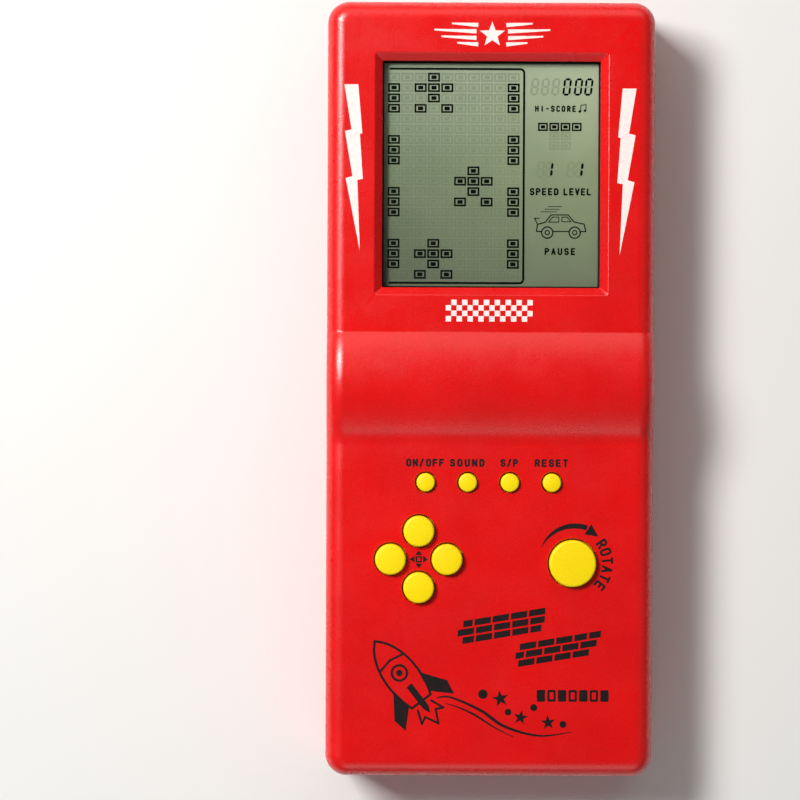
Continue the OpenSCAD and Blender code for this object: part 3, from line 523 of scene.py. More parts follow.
def clear_sheet(name, tint, mirror_rough, gloss, body=(1, 1, 1)):
    """Clear layer: it shows what is behind it, tinted, with gloss that grows towards glancing views."""
    s = Shade(name)

    def uneven(noise, colour, k):
        return s.ramp(noise, [(0.3, (*(c * k for c in colour), 1)), (0.7, (*colour, 1))])

    through = s.node("ShaderNodeBsdfTransparent", {"Color": uneven(s.noise(90, 3, 0.5), tint, 0.985)})
    dust = s.between(s.noise(1500, 2, 0.7, shift=9.0), 0.72, 0.8)
    marks = s.math("MAXIMUM", s.scratches(600, 0.6, 1.0), dust)
    rough = s.scaled(marks, 0.25, mirror_rough)
    s.bump(s.noise(35, 2, 0.5), 0.02, 0.4)
    # the same from both sides, so that light passes out as it came in
    glance = s.math("POWER", s.node("ShaderNodeLayerWeight").outputs["Facing"], 5.0)
    share = s.scaled(glance, 0.96 * gloss, 0.04 * gloss)
    share = s.scaled(marks, 0.012, share, clamp=True)
    both = s.node("ShaderNodeMixShader", {0: share, 1: through.outputs[0], 2: s.p.outputs[0]})
    s.put(s.out.inputs["Surface"], both.outputs[0])
    return s.finish(uneven(s.noise(200, 3), body, 0.9), rough)


# painted light on the display: tones at the low end, the middle and the top of the display, on its left and
# right sides, brighter towards the top and to the right
LCD_LEFT_PAINTED_LIGHT = ((87, 97, 78), (124, 139, 110), (168, 183, 156))
LCD_RIGHT_PAINTED_LIGHT = ((120, 132, 103), (153, 168, 129), (198, 211, 178))


def lcd_tone(name, k=(1.0, 1.0, 1.0), shine=0.3):
    """Display film: fine grain and faint clouds over painted light that is brighter towards the top and to
    the right. k darkens it.
    """
    s = Shade(name)
    grain = s.noise(5200, 2, 0.7)
    low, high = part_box("reflector")
    up = s.between(s.spot("Y"), low.y, high.y)
    across = s.between(s.spot("X"), low.x, high.x)
    left, right = (
        s.ramp(up, [(0.5 * i, rgb(*tone[i], k[i])) for i in range(3)]) for tone in (LCD_LEFT_PAINTED_LIGHT, LCD_RIGHT_PAINTED_LIGHT)
    )
    base = s.mix(left, right, across)
    base = s.mix(base, s.ramp(grain, [(0.3, rgb(0, 0, 0)), (0.7, rgb(255, 255, 255))]), 0.03)
    base = s.mix(base, s.ramp(s.noise(60, 3), [(0.35, rgb(90, 108, 84)), (0.65, rgb(190, 200, 165))]), 0.05)
    s.bump(grain, 0.006)
    return s.finish(base, s.scaled(grain, 0.15, 0.42), Specular_IOR_Level=shine)


def board_mask():
    """Green solder mask over copper tracks that run square to each other."""
    s = Shade("board_green")
    plan = s.node("ShaderNodeMapping", {"Vector": s.co, "Scale": (1, 1, 0)}).outputs["Vector"]
    sockets = {"Vector": plan, "Scale": 160, "Mortar Size": 0.09, "Mortar": (1, 1, 1, 1)}
    sockets.update({"Color1": (0, 0, 0, 1), "Color2": (0.25, 0.25, 0.25, 1)})
    cells = s.node("ShaderNodeTexBrick", sockets)
    tracks = s.between(cells.outputs["Color"], 0.3, 0.7)
    base = s.ramp(s.noise(300, 4, 0.6), [(0.35, rgb(24, 84, 48)), (0.65, rgb(32, 100, 58))])
    base = s.mix(base, rgb(58, 132, 74), s.math("MULTIPLY", tracks, 0.8))
    s.bump(tracks, 0.03)
    s.bump(s.noise(2000, 2), 0.006)
    return s.finish(base, s.scaled(s.noise(500, 3), 0.15, 0.28))


def banded(name, ground, bands, axis, pitch, rough):
    """Lacquer with painted rings along one axis."""
    s = Shade(name)
    run = s.math("FRACT", s.math("DIVIDE", s.spot(axis), pitch))
    base = s.tones(s.noise(900, 3), ground, 0.93, 1.05)
    for at, colour in bands:
        ring = s.math("LESS_THAN", s.math("ABSOLUTE", s.math("SUBTRACT", run, at)), 0.05)
        base = s.mix(base, rgb(*colour), ring)
    s.bump(s.noise(1500, 3), 0.01)
    return s.finish(base, s.scaled(s.noise(600, 3), 0.15, rough))


def cell_jacket():
    """Printed foil sleeve of a cell: a dark body, a plain copper-coloured band and bare steel ends."""
    s = Shade("cell_jacket")
    along = s.math("ABSOLUTE", s.spot("X"))
    body = s.ramp(s.noise(160, 4, 0.6), [(0.3, rgb(34, 38, 46)), (0.7, rgb(44, 48, 58))])
    base = s.mix(body, rgb(176, 122, 70), s.between(along, 0.0128, 0.013))
    steel = s.between(along, 0.0244, 0.0245)
    base = s.mix(base, rgb(176, 178, 182), steel)
    s.put(s.p.inputs["Metallic"], s.scaled(steel, 0.7, 0.25))
    s.bump(s.noise(2500, 2), 0.004)
    rough = s.scaled(s.noise(700, 3), 0.18, 0.26)
    return s.finish(base, rough, Coat_Weight=0.3, Coat_Roughness=0.15)


red = plastic("shell_red", (224, 12, 12), 0.28, grain=2900, grain_mm=0.045, gloss=0.72, scuff=0.25)
yellow = plastic(
    "button_yellow", (255, 222, 2), 0.42, grain=5200, grain_mm=0.004, mottle=0.02,
    wear=0.15, gloss=0.35, scuff=0.3,
)
window_clear = clear_sheet("window_clear", (0.97, 0.975, 0.97), 0.05, gloss=0.8, body=(0.02, 0.02, 0.02))
glass_layer = clear_sheet("lcd_glass", (0.97, 0.985, 0.97), 0.02, gloss=0.02)
# the display film carries painted light, brighter towards the top and to the right
display_tone = lcd_tone("polarizer_film")
foil = metal("lcd_reflector", (200, 204, 196), 0.45, (1, 0.1, 1), 2400)
segment_on = plastic("lcd_segment", (8, 12, 9), 0.6, grain_mm=0.001, mottle=0.15, wear=0, gloss=0.04, scuff=0)
# the faint marks carry the same painted light as the display film, a little darker
segment_off = lcd_tone("lcd_segment_off", (0.985, 0.955, 0.86), 0.1)
print_black = ink("print_black", (18, 8, 10), 0.55)
print_white = ink("print_white", (250, 236, 232), 0.5)
foam = plastic(
    "foam_black", (22, 22, 23), 0.85, grain=3000, grain_mm=0.08, mottle=0.2, wear=0.1, gloss=0.3, scuff=0
)
frame_white = plastic("frame_white", (222, 220, 212), 0.5, grain_mm=0.008)
board = board_mask()

# ---- the front half

PADS = ("up", "down", "left", "right")
KEYS = ("power", "sound", "start", "reset")


def per_button(pad, rotate, key):
    return {**dict.fromkeys(PADS, pad), "rotate": rotate, **dict.fromkeys(KEYS, key)}


BUTTON_R = per_button(7.05 / 2, 10.7 / 2, 4.2 / 2)
FLANGE_R = per_button(4.3, 6.3, 3.2)
RISE = per_button(1.8, 1.8, 1.2)
BUTTON_AT = {k: tuple(middle(k + "_button"))[:2] for k in BUTTON_R}

CASE_SPOTS = [(s * x, y) for s in (-1, 1) for x, y in ((31.5, 82.3), (32.3, 22.5), (31, -82))]
BOARD_SPOTS = [(-30.4, -17.6), (30.4, -17.6), (-30.4, -59.4), (30.4, -59.4), (3, -38.7)]
DISPLAY_SPOTS = [(s * 32, y) for s in (-1, 1) for y in (32, 70)]
CASE_SEAT_Z, CASE_SPLIT_Z = 4.0, 8.0


def boss(b, at, r, bore_r, low_z, bore_top_z, n=40):
    """Screw post that hangs from the front face, with its blind hole."""
    lip = 0.15
    top_z = INNER_Z + 0.7
    b.lathe(
        [(0, top_z), (r, top_z), (r, low_z + lip), (r - lip, low_z), (bore_r + lip, low_z)]
        + [(bore_r, low_z + lip), (bore_r, bore_top_z), (0, bore_top_z)],
        at,
        n,
    )


def front_half():
    b = Build()

    def ring(inset, drop):
        return b.ring([(x, y, face_z(y) - drop) for x, y in outline(inset)])

    # outside: the joint line's edge, the wall and the rounding up to the face
    lip = quarter(EDGE, map(radians, (90, 60, 30, 0)))
    rim = [b.flat(outline(into), PARTING_Z + down) for into, down in lip]
    skin = [ring(into, down) for into, down in quarter(FRONT_FILLET, map(radians, spread(0, 90, 14)))]
    b.stack(rim + skin)
    inner = quarter(FRONT_FILLET - WALL, map(radians, reversed(spread(0, 90, 6))))
    lining = [ring(WALL + into, WALL + down) for into, down in inner]
    foot = b.flat(outline(WALL), PARTING_Z)
    b.stack(lining + [foot, rim[0]])

    # screen opening: its straight wall and the sloping bevel
    slope = BEVEL_W / BEVEL_D
    low = FACE_Z - BEVEL_D
    profile = [(0, INNER_Z), (0, low - 0.14), (0.03, low - 0.05), (0.12, low + 0.06)]
    profile += [(BEVEL_W - 0.16, FACE_Z - 0.16 / slope)]
    profile += [(BEVEL_W - 0.02, FACE_Z - 0.04), (BEVEL_W + 0.16, FACE_Z)]
    frames = [
        b.flat(rect(0, WINDOW_Y, WINDOW_W + 2 * out, WINDOW_L + 2 * out, 0.3 + 0.2 * out, 5), z)
        for out, z in profile
    ]
    b.stack(frames)

    # button holes with rounded rims
    tops, feet = [], []
    for key, cap_r in BUTTON_R.items():
        hole = cap_r + BUTTON_GAP
        n = 96 if cap_r > 5 else 72
        steps = [(hole + out, FACE_Z - down) for down, out in quarter(0.3, map(radians, spread(0, 90, 5)))]
        rings = [b.flat(circle(*BUTTON_AT[key], r, n), z) for r, z in steps + [(hole, INNER_Z)]]
        b.stack(rings)
        tops.append(rings[0])
        feet.append(rings[-1])

    def folds(loop):
        n = len(loop)
        return [(loop[i], loop[n - 1 - i]) for i in range(13, 13 + len(BENDS))]

    b.sheet(skin[-1], [frames[-1]] + tops, folds(skin[-1]))
    b.sheet(lining[0], [frames[0]] + feet, folds(lining[0]))

    for at in CASE_SPOTS:
        boss(b, at, 2.8, 1.15, CASE_SPLIT_Z, 17)
    for at in BOARD_SPOTS:
        boss(b, at, 2.2, 0.85, 14, 18.9)
    for at in DISPLAY_SPOTS:
        boss(b, at, 2.2, 0.85, 16.4, 20.4)
    return b


# ---- the back half

BAY_Y, BAY_W, BAY_L, BAY_TOP, BAY_WALL = 2.2, 57.2, 29.8, 16.7, 1.3
BAY_LOW, BAY_HIGH = BAY_Y - BAY_L / 2, BAY_Y + BAY_L / 2
OPEN_X, OPEN_LOW, OPEN_HIGH = 27.6, -11.2, 15.9
NOTCH_X, NOTCH_HIGH = 6.6, 21.8
POCKET_X, POCKET_HIGH, POCKET_TOP = 7.2, 22.8, 9.0
PIEZO_Y = -70.5
JOIN = 0.5  # how far a cutter runs past what it cuts


def body_solid(rings):
    b = Build()
    b.solid([b.flat(outline(inset, [-20, 20]), z) for inset, z in rings])
    return b


def round_up(r, inset, z, n):
    """Edge rounding above a flat floor, as (inset, height) pairs."""
    return [(inset + i, z + rise) for rise, i in quarter(r, spread(0, pi / 2, n))]


def flare(r, z_top, lip=0.2, n=4):
    """Cutter for a hole up into the back, its rim rounded outwards."""
    return [(0, -JOIN), (r + lip, -JOIN)] + round_up(lip, r, 0, n) + [(r, z_top), (0, z_top)]


def back_half():
    shell = [(into, PARTING_Z - down) for into, down in quarter(EDGE, spread(0, pi / 2, 3))]
    base = loose(body_solid(round_up(BACK_FILLET, 0, 0, 12) + shell), "rear_case")
    carve(base, cut=[body_solid(round_up(1, WALL, FLOOR_T, 5) + [(WALL, PARTING_Z + JOIN)])])

    add, cut = [], []
    # tongue that locates the two halves
    lip_out, lip_in = WALL + 0.1, WALL + 1.1
    tongue = Build()
    steps = [(WALL - 0.6, 10.5), (WALL - 0.6, PARTING_Z - 0.3), (lip_out, PARTING_Z - 0.3)]
    steps += [(lip_out, 13.3), (lip_out + 0.2, 13.5), (lip_in, 13.5), (lip_in, 10.5)]
    outer = [tongue.flat(rect(0, 0, BODY_W - 2 * i, BODY_L - 2 * i, CORNER_R - i, 8), z) for i, z in steps]
    tongue.stack(outer + [outer[0]])
    add.append(tongue)
    wall = BAY_WALL
    half = BAY_W / 2
    add.append(box_build((-half - wall, half + wall), (BAY_LOW - wall, BAY_HIGH + wall), (1, BAY_TOP + wall)))
    side = POCKET_X + wall
    add.append(box_build((-side, side), (BAY_HIGH, POCKET_HIGH + wall), (1, POCKET_TOP + wall)))
    post = [(0, 1), (3.4, 1), (3.4, CASE_SPLIT_Z - 0.15), (3.25, CASE_SPLIT_Z), (0, CASE_SPLIT_Z)]
    for at in CASE_SPOTS:
        add.append(lathe_build(post, at))
        cut.append(lathe_build(flare(2.6, CASE_SEAT_Z), at, 64))
        cut.append(lathe_build([(0, 3), (1.5, 3), (1.5, 9), (0, 9)], at))
        # the front half's post passes through the tongue here
        low = CASE_SPLIT_Z + 0.01
        cut.append(lathe_build([(0, low), (3.1, low), (3.1, 14), (0, 14)], at))
    # seat of the buzzer's disc
    seat = [(12.5, 1), (14.4, 1), (14.4, 4.5), (14.3, 4.6), (13.7, 4.6), (13.6, 4.5)]
    add.append(lathe_build(seat + [(13.6, 3.2), (12.5, 3.2), (12.5, 1)], (0, PIEZO_Y), 96))
    sound = [(0, PIEZO_Y)] + circle(0, PIEZO_Y, 5, 6)
    cut += [lathe_build(flare(0.9, FLOOR_T + JOIN, 0.15), at, 40) for at in sound]
    # battery bay, the latch's pocket, the door opening and the two wire holes
    cut.append(box_build((-half, half), (BAY_LOW, BAY_HIGH), (FLOOR_T, BAY_TOP)))
    cut.append(box_build((-POCKET_X, POCKET_X), (BAY_HIGH - JOIN, POCKET_HIGH), (FLOOR_T, POCKET_TOP)))
    door_hole = [(-OPEN_X, OPEN_LOW), (OPEN_X, OPEN_LOW), (OPEN_X, OPEN_HIGH), (NOTCH_X, OPEN_HIGH)]
    door_hole += [(NOTCH_X, NOTCH_HIGH), (-NOTCH_X, NOTCH_HIGH), (-NOTCH_X, OPEN_HIGH), (-OPEN_X, OPEN_HIGH)]
    opening = Build()
    steps = [(0.2, -JOIN), (0.2, 0), (0.06, 0.06), (0, 0.2), (0, FLOOR_T + 0.2)]
    opening.solid([opening.flat(offset(door_hole, d), z) for d, z in steps])
    cut.append(opening)
    for z in (14.9, 16.05):
        hole = Build()
        hole.sweep([(27.6, BAY_LOW - 2.5, z), (27.6, BAY_LOW + JOIN, z)], 0.65, 20)
        cut.append(hole)
    return carve(base, add, cut)


def battery_door():
    """Door panel with its rounded hooked edge, finger grooves and hooks."""
    z0, z1 = 0.2, 2.0
    low, high, half = -11.0, 15.7, 27.4
    r = (z1 - z0) / 2
    axis_y, axis_z = low + r, z0 + r
    lip = 0.15
    side = arc(axis_y, axis_z, r, 90, 270, 14)
    side += [(high - lip, z0), (high, z0 + lip), (high, z1 - lip), (high - lip, z1)]
    plate = []
    for x, shrink in [(-half, 0.12), (-half + 0.12, 0), (half - 0.12, 0), (half, 0.12)]:
        ring = [(y + (axis_y + 8 - y) * shrink * 0.02, z + (axis_z - z) * shrink * 0.9) for y, z in side]
        plate.append((x, ring))
    base = loose(along_x(plate), "battery_door_panel")
    add = [box_build((-6, 6), (high - 1, high + 1.2), (z0, z1))]
    hook = [(axis_y - 2.4, 2.05), (axis_y + r, 2.05), (axis_y + r, 2.7), (axis_y + r - 0.15, 2.85)]
    hook += [(axis_y - 2.25, 2.85), (axis_y - 2.4, 2.7)]
    for x0, x1 in ((-20, -12), (12, 20)):
        add += [along_x([(x0, hook), (x1, hook)]), box_build((x0, x1), (axis_y, axis_y + r), (axis_z, 2.5))]
    cut = []
    for i in range(5):
        y = high - 3 - 1.6 * i
        groove = [(y - 0.55, -JOIN), (y - 0.55, z0 - 0.001)] + arc(y, z0 + 0.05, 0.4, 180, 0, 10)
        groove += [(y + 0.55, z0 - 0.001), (y + 0.55, -JOIN)]
        cut.append(along_x([(-8, groove), (8, groove)]))
    return carve(base, add, cut)


def door_catch():
    """Springy U of the door's latch, with its barb."""
    y0, leg_z, out_r, in_r = 19.0, 6.0, 2.1, 1.1
    edge = 0.12
    shape = [(y0 + in_r + edge, 0.2), (y0 + out_r - edge, 0.2), (y0 + out_r, 0.2 + edge), (y0 + out_r, 2.1)]
    shape += [(y0 + out_r + 1.0, 2.1), (y0 + out_r + 1.1, 2.2), (y0 + out_r + 1.1, 2.45), (y0 + out_r, 3.7)]
    shape += arc(y0, leg_z, out_r, 0, 180, 20)
    shape += [(y0 - out_r, 0.2), (y0 - in_r - edge, 0.2), (y0 - in_r, 0.2 + edge)]
    shape += arc(y0, leg_z, in_r, 180, 0, 16) + [(y0 + in_r, 0.2 + edge)]
    ends = [(-6, -edge), (-6 + edge, 0), (6 - edge, 0), (6, -edge)]
    return along_x([(x, offset(shape, d * 0.6)) for x, d in ends])


def cross_screw(b, at, seat_z, length, shank_r, head_r, head_h):
    """Pan-head screw with its tip up: a cross recess, a domed head and a rolled thread."""
    n = 48
    low = seat_z - head_h
    # half length, half width and depth of the recess
    l, w, depth = 0.62 * head_r, 0.15 * head_r, 0.5 * head_h
    # head: from the seat down to a rounded rim, then in to the recess
    rim = [b.flat(circle(*at, shank_r, n), seat_z), b.flat(circle(*at, head_r, n), seat_z)]
    for into, down in quarter(1, map(radians, spread(0, 90, 5))):
        rim.append(b.flat(circle(*at, head_r - 0.35 * head_r * into, n), low + 0.45 * head_h * down))
    b.stack(rim)
    corners = [(w, w), (w, l), (-w, l), (-w, w), (-l, w), (-l, -w)]
    corners += [(-x, -y) for x, y in corners]
    cross = [(at[0] + x, at[1] + y) for x, y in corners]
    top = b.flat(cross, low)
    floor = b.flat([(at[0] + (x - at[0]) * 0.72, at[1] + (y - at[1]) * 0.72) for x, y in cross], low + depth)
    b.bridge(top, floor)
    b.cap(floor)
    b.sheet(rim[-1], [top])
    # shank with a thread of rings, and its point
    pitch = 1.0 if shank_r > 1.1 else 0.7
    root = shank_r * 0.76
    profile = [(shank_r, seat_z), (root, seat_z + 0.3)]
    z, tip = seat_z + 0.6, seat_z + length
    while z < tip - 2.2 * shank_r:
        profile += [(root, z), (shank_r, z + pitch * 0.3), (root, z + pitch * 0.6)]
        z += pitch
    profile += [(root, tip - 1.3 * shank_r), (0.25 * shank_r, tip - 0.05), (0, tip)]
    b.lathe(profile, at, n)


def button_cap(key):
    """Cap with a flange under the front face and a blind bore below."""
    b = Build()
    r, flange, top = BUTTON_R[key], FLANGE_R[key], FACE_Z + RISE[key]
    edge = min(0.55, r * 0.2)
    crown, bore = 0.15, r - 1.3
    start = r - edge
    ball = (start * start + crown * crown) / (2 * crown)
    low, lip = CAP_LOW_Z, 0.12
    profile = [(bore, low), (flange - lip, low), (flange, low + lip)]
    profile += [(flange, low + FLANGE_T - lip), (flange - lip, low + FLANGE_T), (r, low + FLANGE_T)]
    shoulder = degrees(asin(start / ball))
    turns = map(radians, spread(0, 90 - shoulder, 9))
    profile += [(r - into, top - crown - down) for into, down in quarter(edge, turns)]
    profile += [(x, top - ball + sqrt(ball * ball - x * x)) for x in spread(start, 0, 12)[1:]]
    b.lathe(profile, BUTTON_AT[key], 96)
    roof = FACE_Z - 0.4
    b.lathe([(0, roof), (bore - 0.1, roof), (bore, roof - 0.1), (bore, low)], BUTTON_AT[key], 96)
    return b


# ---- make the body

piece(front_half(), "front_case", red, "shell_red", replaces=["front_shell"])
piece(back_half(), "rear_case", red, "shell_red", replaces=["back_shell"])
piece(battery_door(), "battery_door_panel", red, "shell_red", "battery_door", replaces=["battery_door"])
piece(door_catch(), "battery_door_catch", red, "shell_red", "battery_door", replaces=["door_latch"])
for key in BUTTON_R:
    node = key + "_button"
    piece(button_cap(key), key + "_cap", yellow, "button_yellow", node, sharp=50, replaces=[node])


# ---- printed artwork

GLYPHS = {
    "A": [[(0, 0), (2, 6), (4, 0)], [(0.8, 2), (3.2, 2)]],
    "C": [[(4, 5), (3, 6), (1, 6), (0, 5), (0, 1), (1, 0), (3, 0), (4, 1)]],
    "D": [[(0, 0), (0, 6), (2.6, 6), (4, 4.6), (4, 1.4), (2.6, 0), (0, 0)]],
    "E": [[(3.8, 6), (0, 6), (0, 0), (3.8, 0)], [(0, 3), (3.2, 3)]],
    "F": [[(3.8, 6), (0, 6), (0, 0)], [(0, 3), (3.2, 3)]],
    "H": [[(0, 0), (0, 6)], [(4, 0), (4, 6)], [(0, 3), (4, 3)]],
    "I": [[(2, 0), (2, 6)]],
    "L": [[(0, 6), (0, 0), (3.8, 0)]],
    "N": [[(0, 0), (0, 6), (4, 0), (4, 6)]],
    "O": [[(1, 0), (0, 1), (0, 5), (1, 6), (3, 6), (4, 5), (4, 1), (3, 0), (1, 0)]],
    "P": [[(0, 0), (0, 6), (3, 6), (4, 5), (4, 4), (3, 3), (0, 3)]],
    "R": [[(0, 0), (0, 6), (3, 6), (4, 5), (4, 4), (3, 3), (0, 3)], [(2, 3), (4, 0)]],
    "S": [[(4, 5), (3, 6), (1, 6), (0, 5), (0, 4), (1, 3), (3, 3), (4, 2), (4, 1), (3, 0), (1, 0), (0, 1)]],
    "T": [[(0, 6), (4, 6)], [(2, 6), (2, 0)]],
    "U": [[(0, 6), (0, 1), (1, 0), (3, 0), (4, 1), (4, 6)]],
    "V": [[(0, 6), (2, 0), (4, 6)]],
    "/": [[(0.4, -0.4), (3.2, 6.4)]],
    "-": [[(0.8, 3), (3, 3)]],
}


def stroke(line, width, n=8):
    """Polygons that cover a line of the given width, with round joints."""
    out = []
    for a, b in zip(line, line[1:]):
        p, q = Vector(a), Vector(b)
        d = (q - p).normalized() * width / 2
        s = Vector((-d.y, d.x))
        out.append([tuple(p + s), tuple(p - s), tuple(q - s), tuple(q + s)])
    out += [circle(x, y, width / 2, n, pi / n) for x, y in line]
    return out


def word(text, cx, cy, height, pitch, width, squeeze=0.8):
    """Block letters centred on a spot. pitch is the step between letters."""
    k = height / 6
    out = []
    for i, char in enumerate(text):
        x0 = cx + (i - (len(text) - 1) / 2) * pitch
        for line in GLYPHS.get(char, []):
            pts = [(x0 + (x - 2) * k * squeeze, cy + (y - 3) * k) for x, y in line]
            out += stroke(pts, width)
    return out


def plane_mesh(polygons, z0, z1, holes=()):
    """Thin flat piece that covers a set of polygons, which may overlap, less the holes."""
    b = Build()
    plan, faces, kinds = [], [], []
    for kind, group in ((1, polygons), (0, holes)):
        for poly in group:
            if sum(p[0] * q[1] - q[0] * p[1] for p, q in zip(poly, poly[1:] + poly[:1])) < 0:
                poly = poly[::-1]
            start = len(plan)
            plan += [Vector(p) for p in poly]
            faces.append(list(range(start, len(plan))))
            kinds.append(kind)
    out, _, tris, _, _, origin = delaunay_2d_cdt(plan, [], faces, 1, 1e-6)
    keep = []
    for t, froms in zip(tris, origin):
        found = [kinds[i] for i in froms]
        if 1 in found and 0 not in found:
            keep.append(tuple(t))
    top = b.ring([(p.x, p.y, z1) for p in out])
    low = b.ring([(p.x, p.y, z0) for p in out])
    seen = {}
    for t in keep:
        b.f.append(tuple(top[i] for i in t))
        b.f.append(tuple(low[i] for i in reversed(t)))
        for i, j in zip(t, t[1:] + t[:1]):
            seen[(i, j)] = True
    for i, j in seen:
        if (j, i) not in seen:
            b.f.append((low[i], low[j], top[j], top[i]))
    used = sorted({i for f in b.f for i in f})
    where = {i: k for k, i in enumerate(used)}
    b.v = [b.v[i] for i in used]
    b.f = [tuple(where[i] for i in f) for f in b.f]
    return b


INK_LOW, INK_TOP = FACE_Z - 0.01, FACE_Z + 0.025


def printed(name, polygons, material=print_black, holes=()):
    """Ink on the front face."""
    piece(plane_mesh(polygons, INK_LOW, INK_TOP, holes), name, material, material.name)


def turned(pts, angle, about=(0, 0)):
    c, s = cos(radians(angle)), sin(radians(angle))
    return [(about[0] + (c * x - s * y), about[1] + (s * x + c * y)) for x, y in pts]


def star(cx, cy, r, turn=90.0, inner=0.42):
    """Five-pointed star. inner is the share of r that its inner corners reach."""
    pts = []
    for i in range(10):
        a = radians(turn + 180 * i / 5)
        reach = r * (inner if i % 2 else 1)
        pts.append((cx + reach * cos(a), cy + reach * sin(a)))
    return pts


def curve(pts, n=10):
    """Smooth line through the given points."""
    out = []
    last = len(pts) - 1
    for i in range(last):
        a, b, c, d = (Vector(pts[k]) for k in (max(i - 1, 0), i, i + 1, min(i + 2, last)))
        for k in range(n):
            t = k / n
            bend = (2 * a - 5 * b + 4 * c - d) * t**2
            out.append(tuple(0.5 * (2 * b + (c - a) * t + bend + (3 * b - a - 3 * c + d) * t**3)))
    return out + [tuple(pts[-1])]


def ribbon(line, widths):
    """One polygon along a line whose width changes evenly through the given values."""
    left, right = [], []
    n = len(line)
    for i in range(n):
        a, b = Vector(line[max(i - 1, 0)]), Vector(line[min(i + 1, n - 1)])
        d = (b - a).normalized()
        t = i / (n - 1) * (len(widths) - 1)
        k = min(int(t), len(widths) - 2)
        w = widths[k] + (widths[k + 1] - widths[k]) * (t - k)
        s = Vector((-d.y, d.x)) * w / 2
        left.append(tuple(Vector(line[i]) + s))
        right.append(tuple(Vector(line[i]) - s))
    return right + left[::-1]


# white bolts beside the screen
BOLT = [(-1.5, 0), (1.65, 0), (2.6, -11.1), (2.05, -11.25), (2.75, -21.5), (1.5, -21.75)]
BOLT += [(2.15, -37.9), (-1.15, -21.3), (0.4, -20.9), (-1.35, -10.6), (0.15, -10.25)]
printed("print_bolt_left", [[(-32.1 + x, 69.5 + y) for x, y in BOLT]], print_white)
printed("print_bolt_right", [[(31.4 - x, 68.8 + y) for x, y in BOLT]], print_white)

# white emblem above the screen: a star between two sets of tapering stripes
emblem = [star(0, 80.9, 3.0)]
for s in (-1, 1):
    for y, near, far in [(2.2, 3.2, 9.2), (0.75, 3.6, 13.2), (-0.75, 3.6, 11.6), (-2.2, 3.2, 8.0)]:
        emblem.append(ribbon([(s * near, 80.9 + y), (s * far, 80.9 + y + 0.35)], [0.95, 0.35]))
printed("print_top_emblem", emblem, print_white)

# white chequered band below the screen
check = []
side = 1.24
for row in range(4):
    for col in range(16):
        if (row + col) % 2 == 0:
            check.append(rect(-0.4 + (col - 7.5) * side, 18.1 + (row - 1.5) * side, side, side))
printed("print_check_band", check, print_white)

# words over the keys
labels = []
for text, key, pitch in (
    ("ON/OFF", "power", 1.5), ("SOUND", "sound", 1.68), ("S/P", "start", 1.42), ("RESET", "reset", 1.6),
):
    labels += word(text, BUTTON_AT[key][0] - 0.15, -16.62, 1.36, pitch, 0.44, squeeze=0.84)
printed("print_key_labels", labels)

# mark in the middle of the direction pad: four arrowheads about a square
pad = Vector((-16.2, -38.7))
mark = []
for k in range(4):
    mark.append(turned([(0.98, -0.8), (2.05, 0), (0.98, 0.8)], 90 * k, pad))
mark.append(rect(pad.x, pad.y, 1.42, 1.42))
printed("print_pad_mark", mark, holes=[rect(pad.x, pad.y, 0.75, 0.75)])

# turning arrow and its word about the rotate button
hub = Vector(BUTTON_AT["rotate"])
sweep = [arc(hub.x, hub.y, r, a, a, 1)[0] for a, r in zip(spread(152, 68, 30), spread(8.0, 8.75, 30))]
arrow = [ribbon(sweep, [0.1, 0.75, 1.15, 1.2])]
head = Vector(arc(hub.x, hub.y, 8.6, 66, 66, 1)[0])
arrow.append(turned([(0, -1.45), (2.9, -0.15), (0, 1.35)], -33, head))
printed("print_turn_arrow", arrow)
turn_word = []
for i, char in enumerate("ROTATE"):
    a = 34 - 14.6 * i
    k = 2.1 / 6
    spot = hub + Vector((cos(radians(a)), sin(radians(a)))) * 8.0
    for line in GLYPHS[char]:
        turn_word += stroke(turned([((x - 2) * k * 0.78, (y - 3) * k) for x, y in line], a - 90, spot), 0.52)
printed("print_turn_word", turn_word)


# two leaning courses of bricks where a title would be
def courses(cx, cy, rows, lean=9.5, gap=0.45, shear=0.35, half=0.72):
    out = []
    for row, (start, lengths) in enumerate(rows):
        x = start
        for length in lengths:
            end = x + length - gap
            brick = [(x, -half), (end, -half), (end + shear, half), (x + shear, half)]
            out.append(turned([(bx, by + (row - 1) * 1.85) for bx, by in brick], lean, (cx, cy)))
            x += length
    return out


W = 4.2  # a whole brick
high_rows = [(-9.6, [3.1, W, W, W, 3.0]), (-10.4, [W, W, W, W, 3.8]), (-8.8, [2.6, W, W, W, W])]
low_rows = [(-9.6, [W, W, W, W]), (-9.9, [2.4, W, W, W, W]), (-8.6, [W, W, W, 3.4, 3.2])]
bricks = courses(2.85, -53.9, high_rows) + courses(15.6, -59.1, low_rows)
printed("print_brick_courses", bricks)

# row of small tiles under the courses
tiles, tile_holes = [], []
for i in range(7):
    x = 19.1 + (i - 3) * 2.42
    tiles.append(rect(x, -69.8, 1.9, 2.7, 0.3, 3))
    if i % 2:
        tile_holes.append(rect(x, -69.8, 0.9, 1.6, 0.1, 2))
printed("print_tile_row", tiles, holes=tile_holes)

# rocket with its trail, stars and dots
at = Vector((-19.3, -66.3))
TILT = 38  # the nose points up and to the left


def craft(pts):
    return turned(pts, TILT, at)


def craft_line(pts, width):
    return [quad for a, b in zip(pts, pts[1:]) for quad in stroke(craft([a, b]), width)]


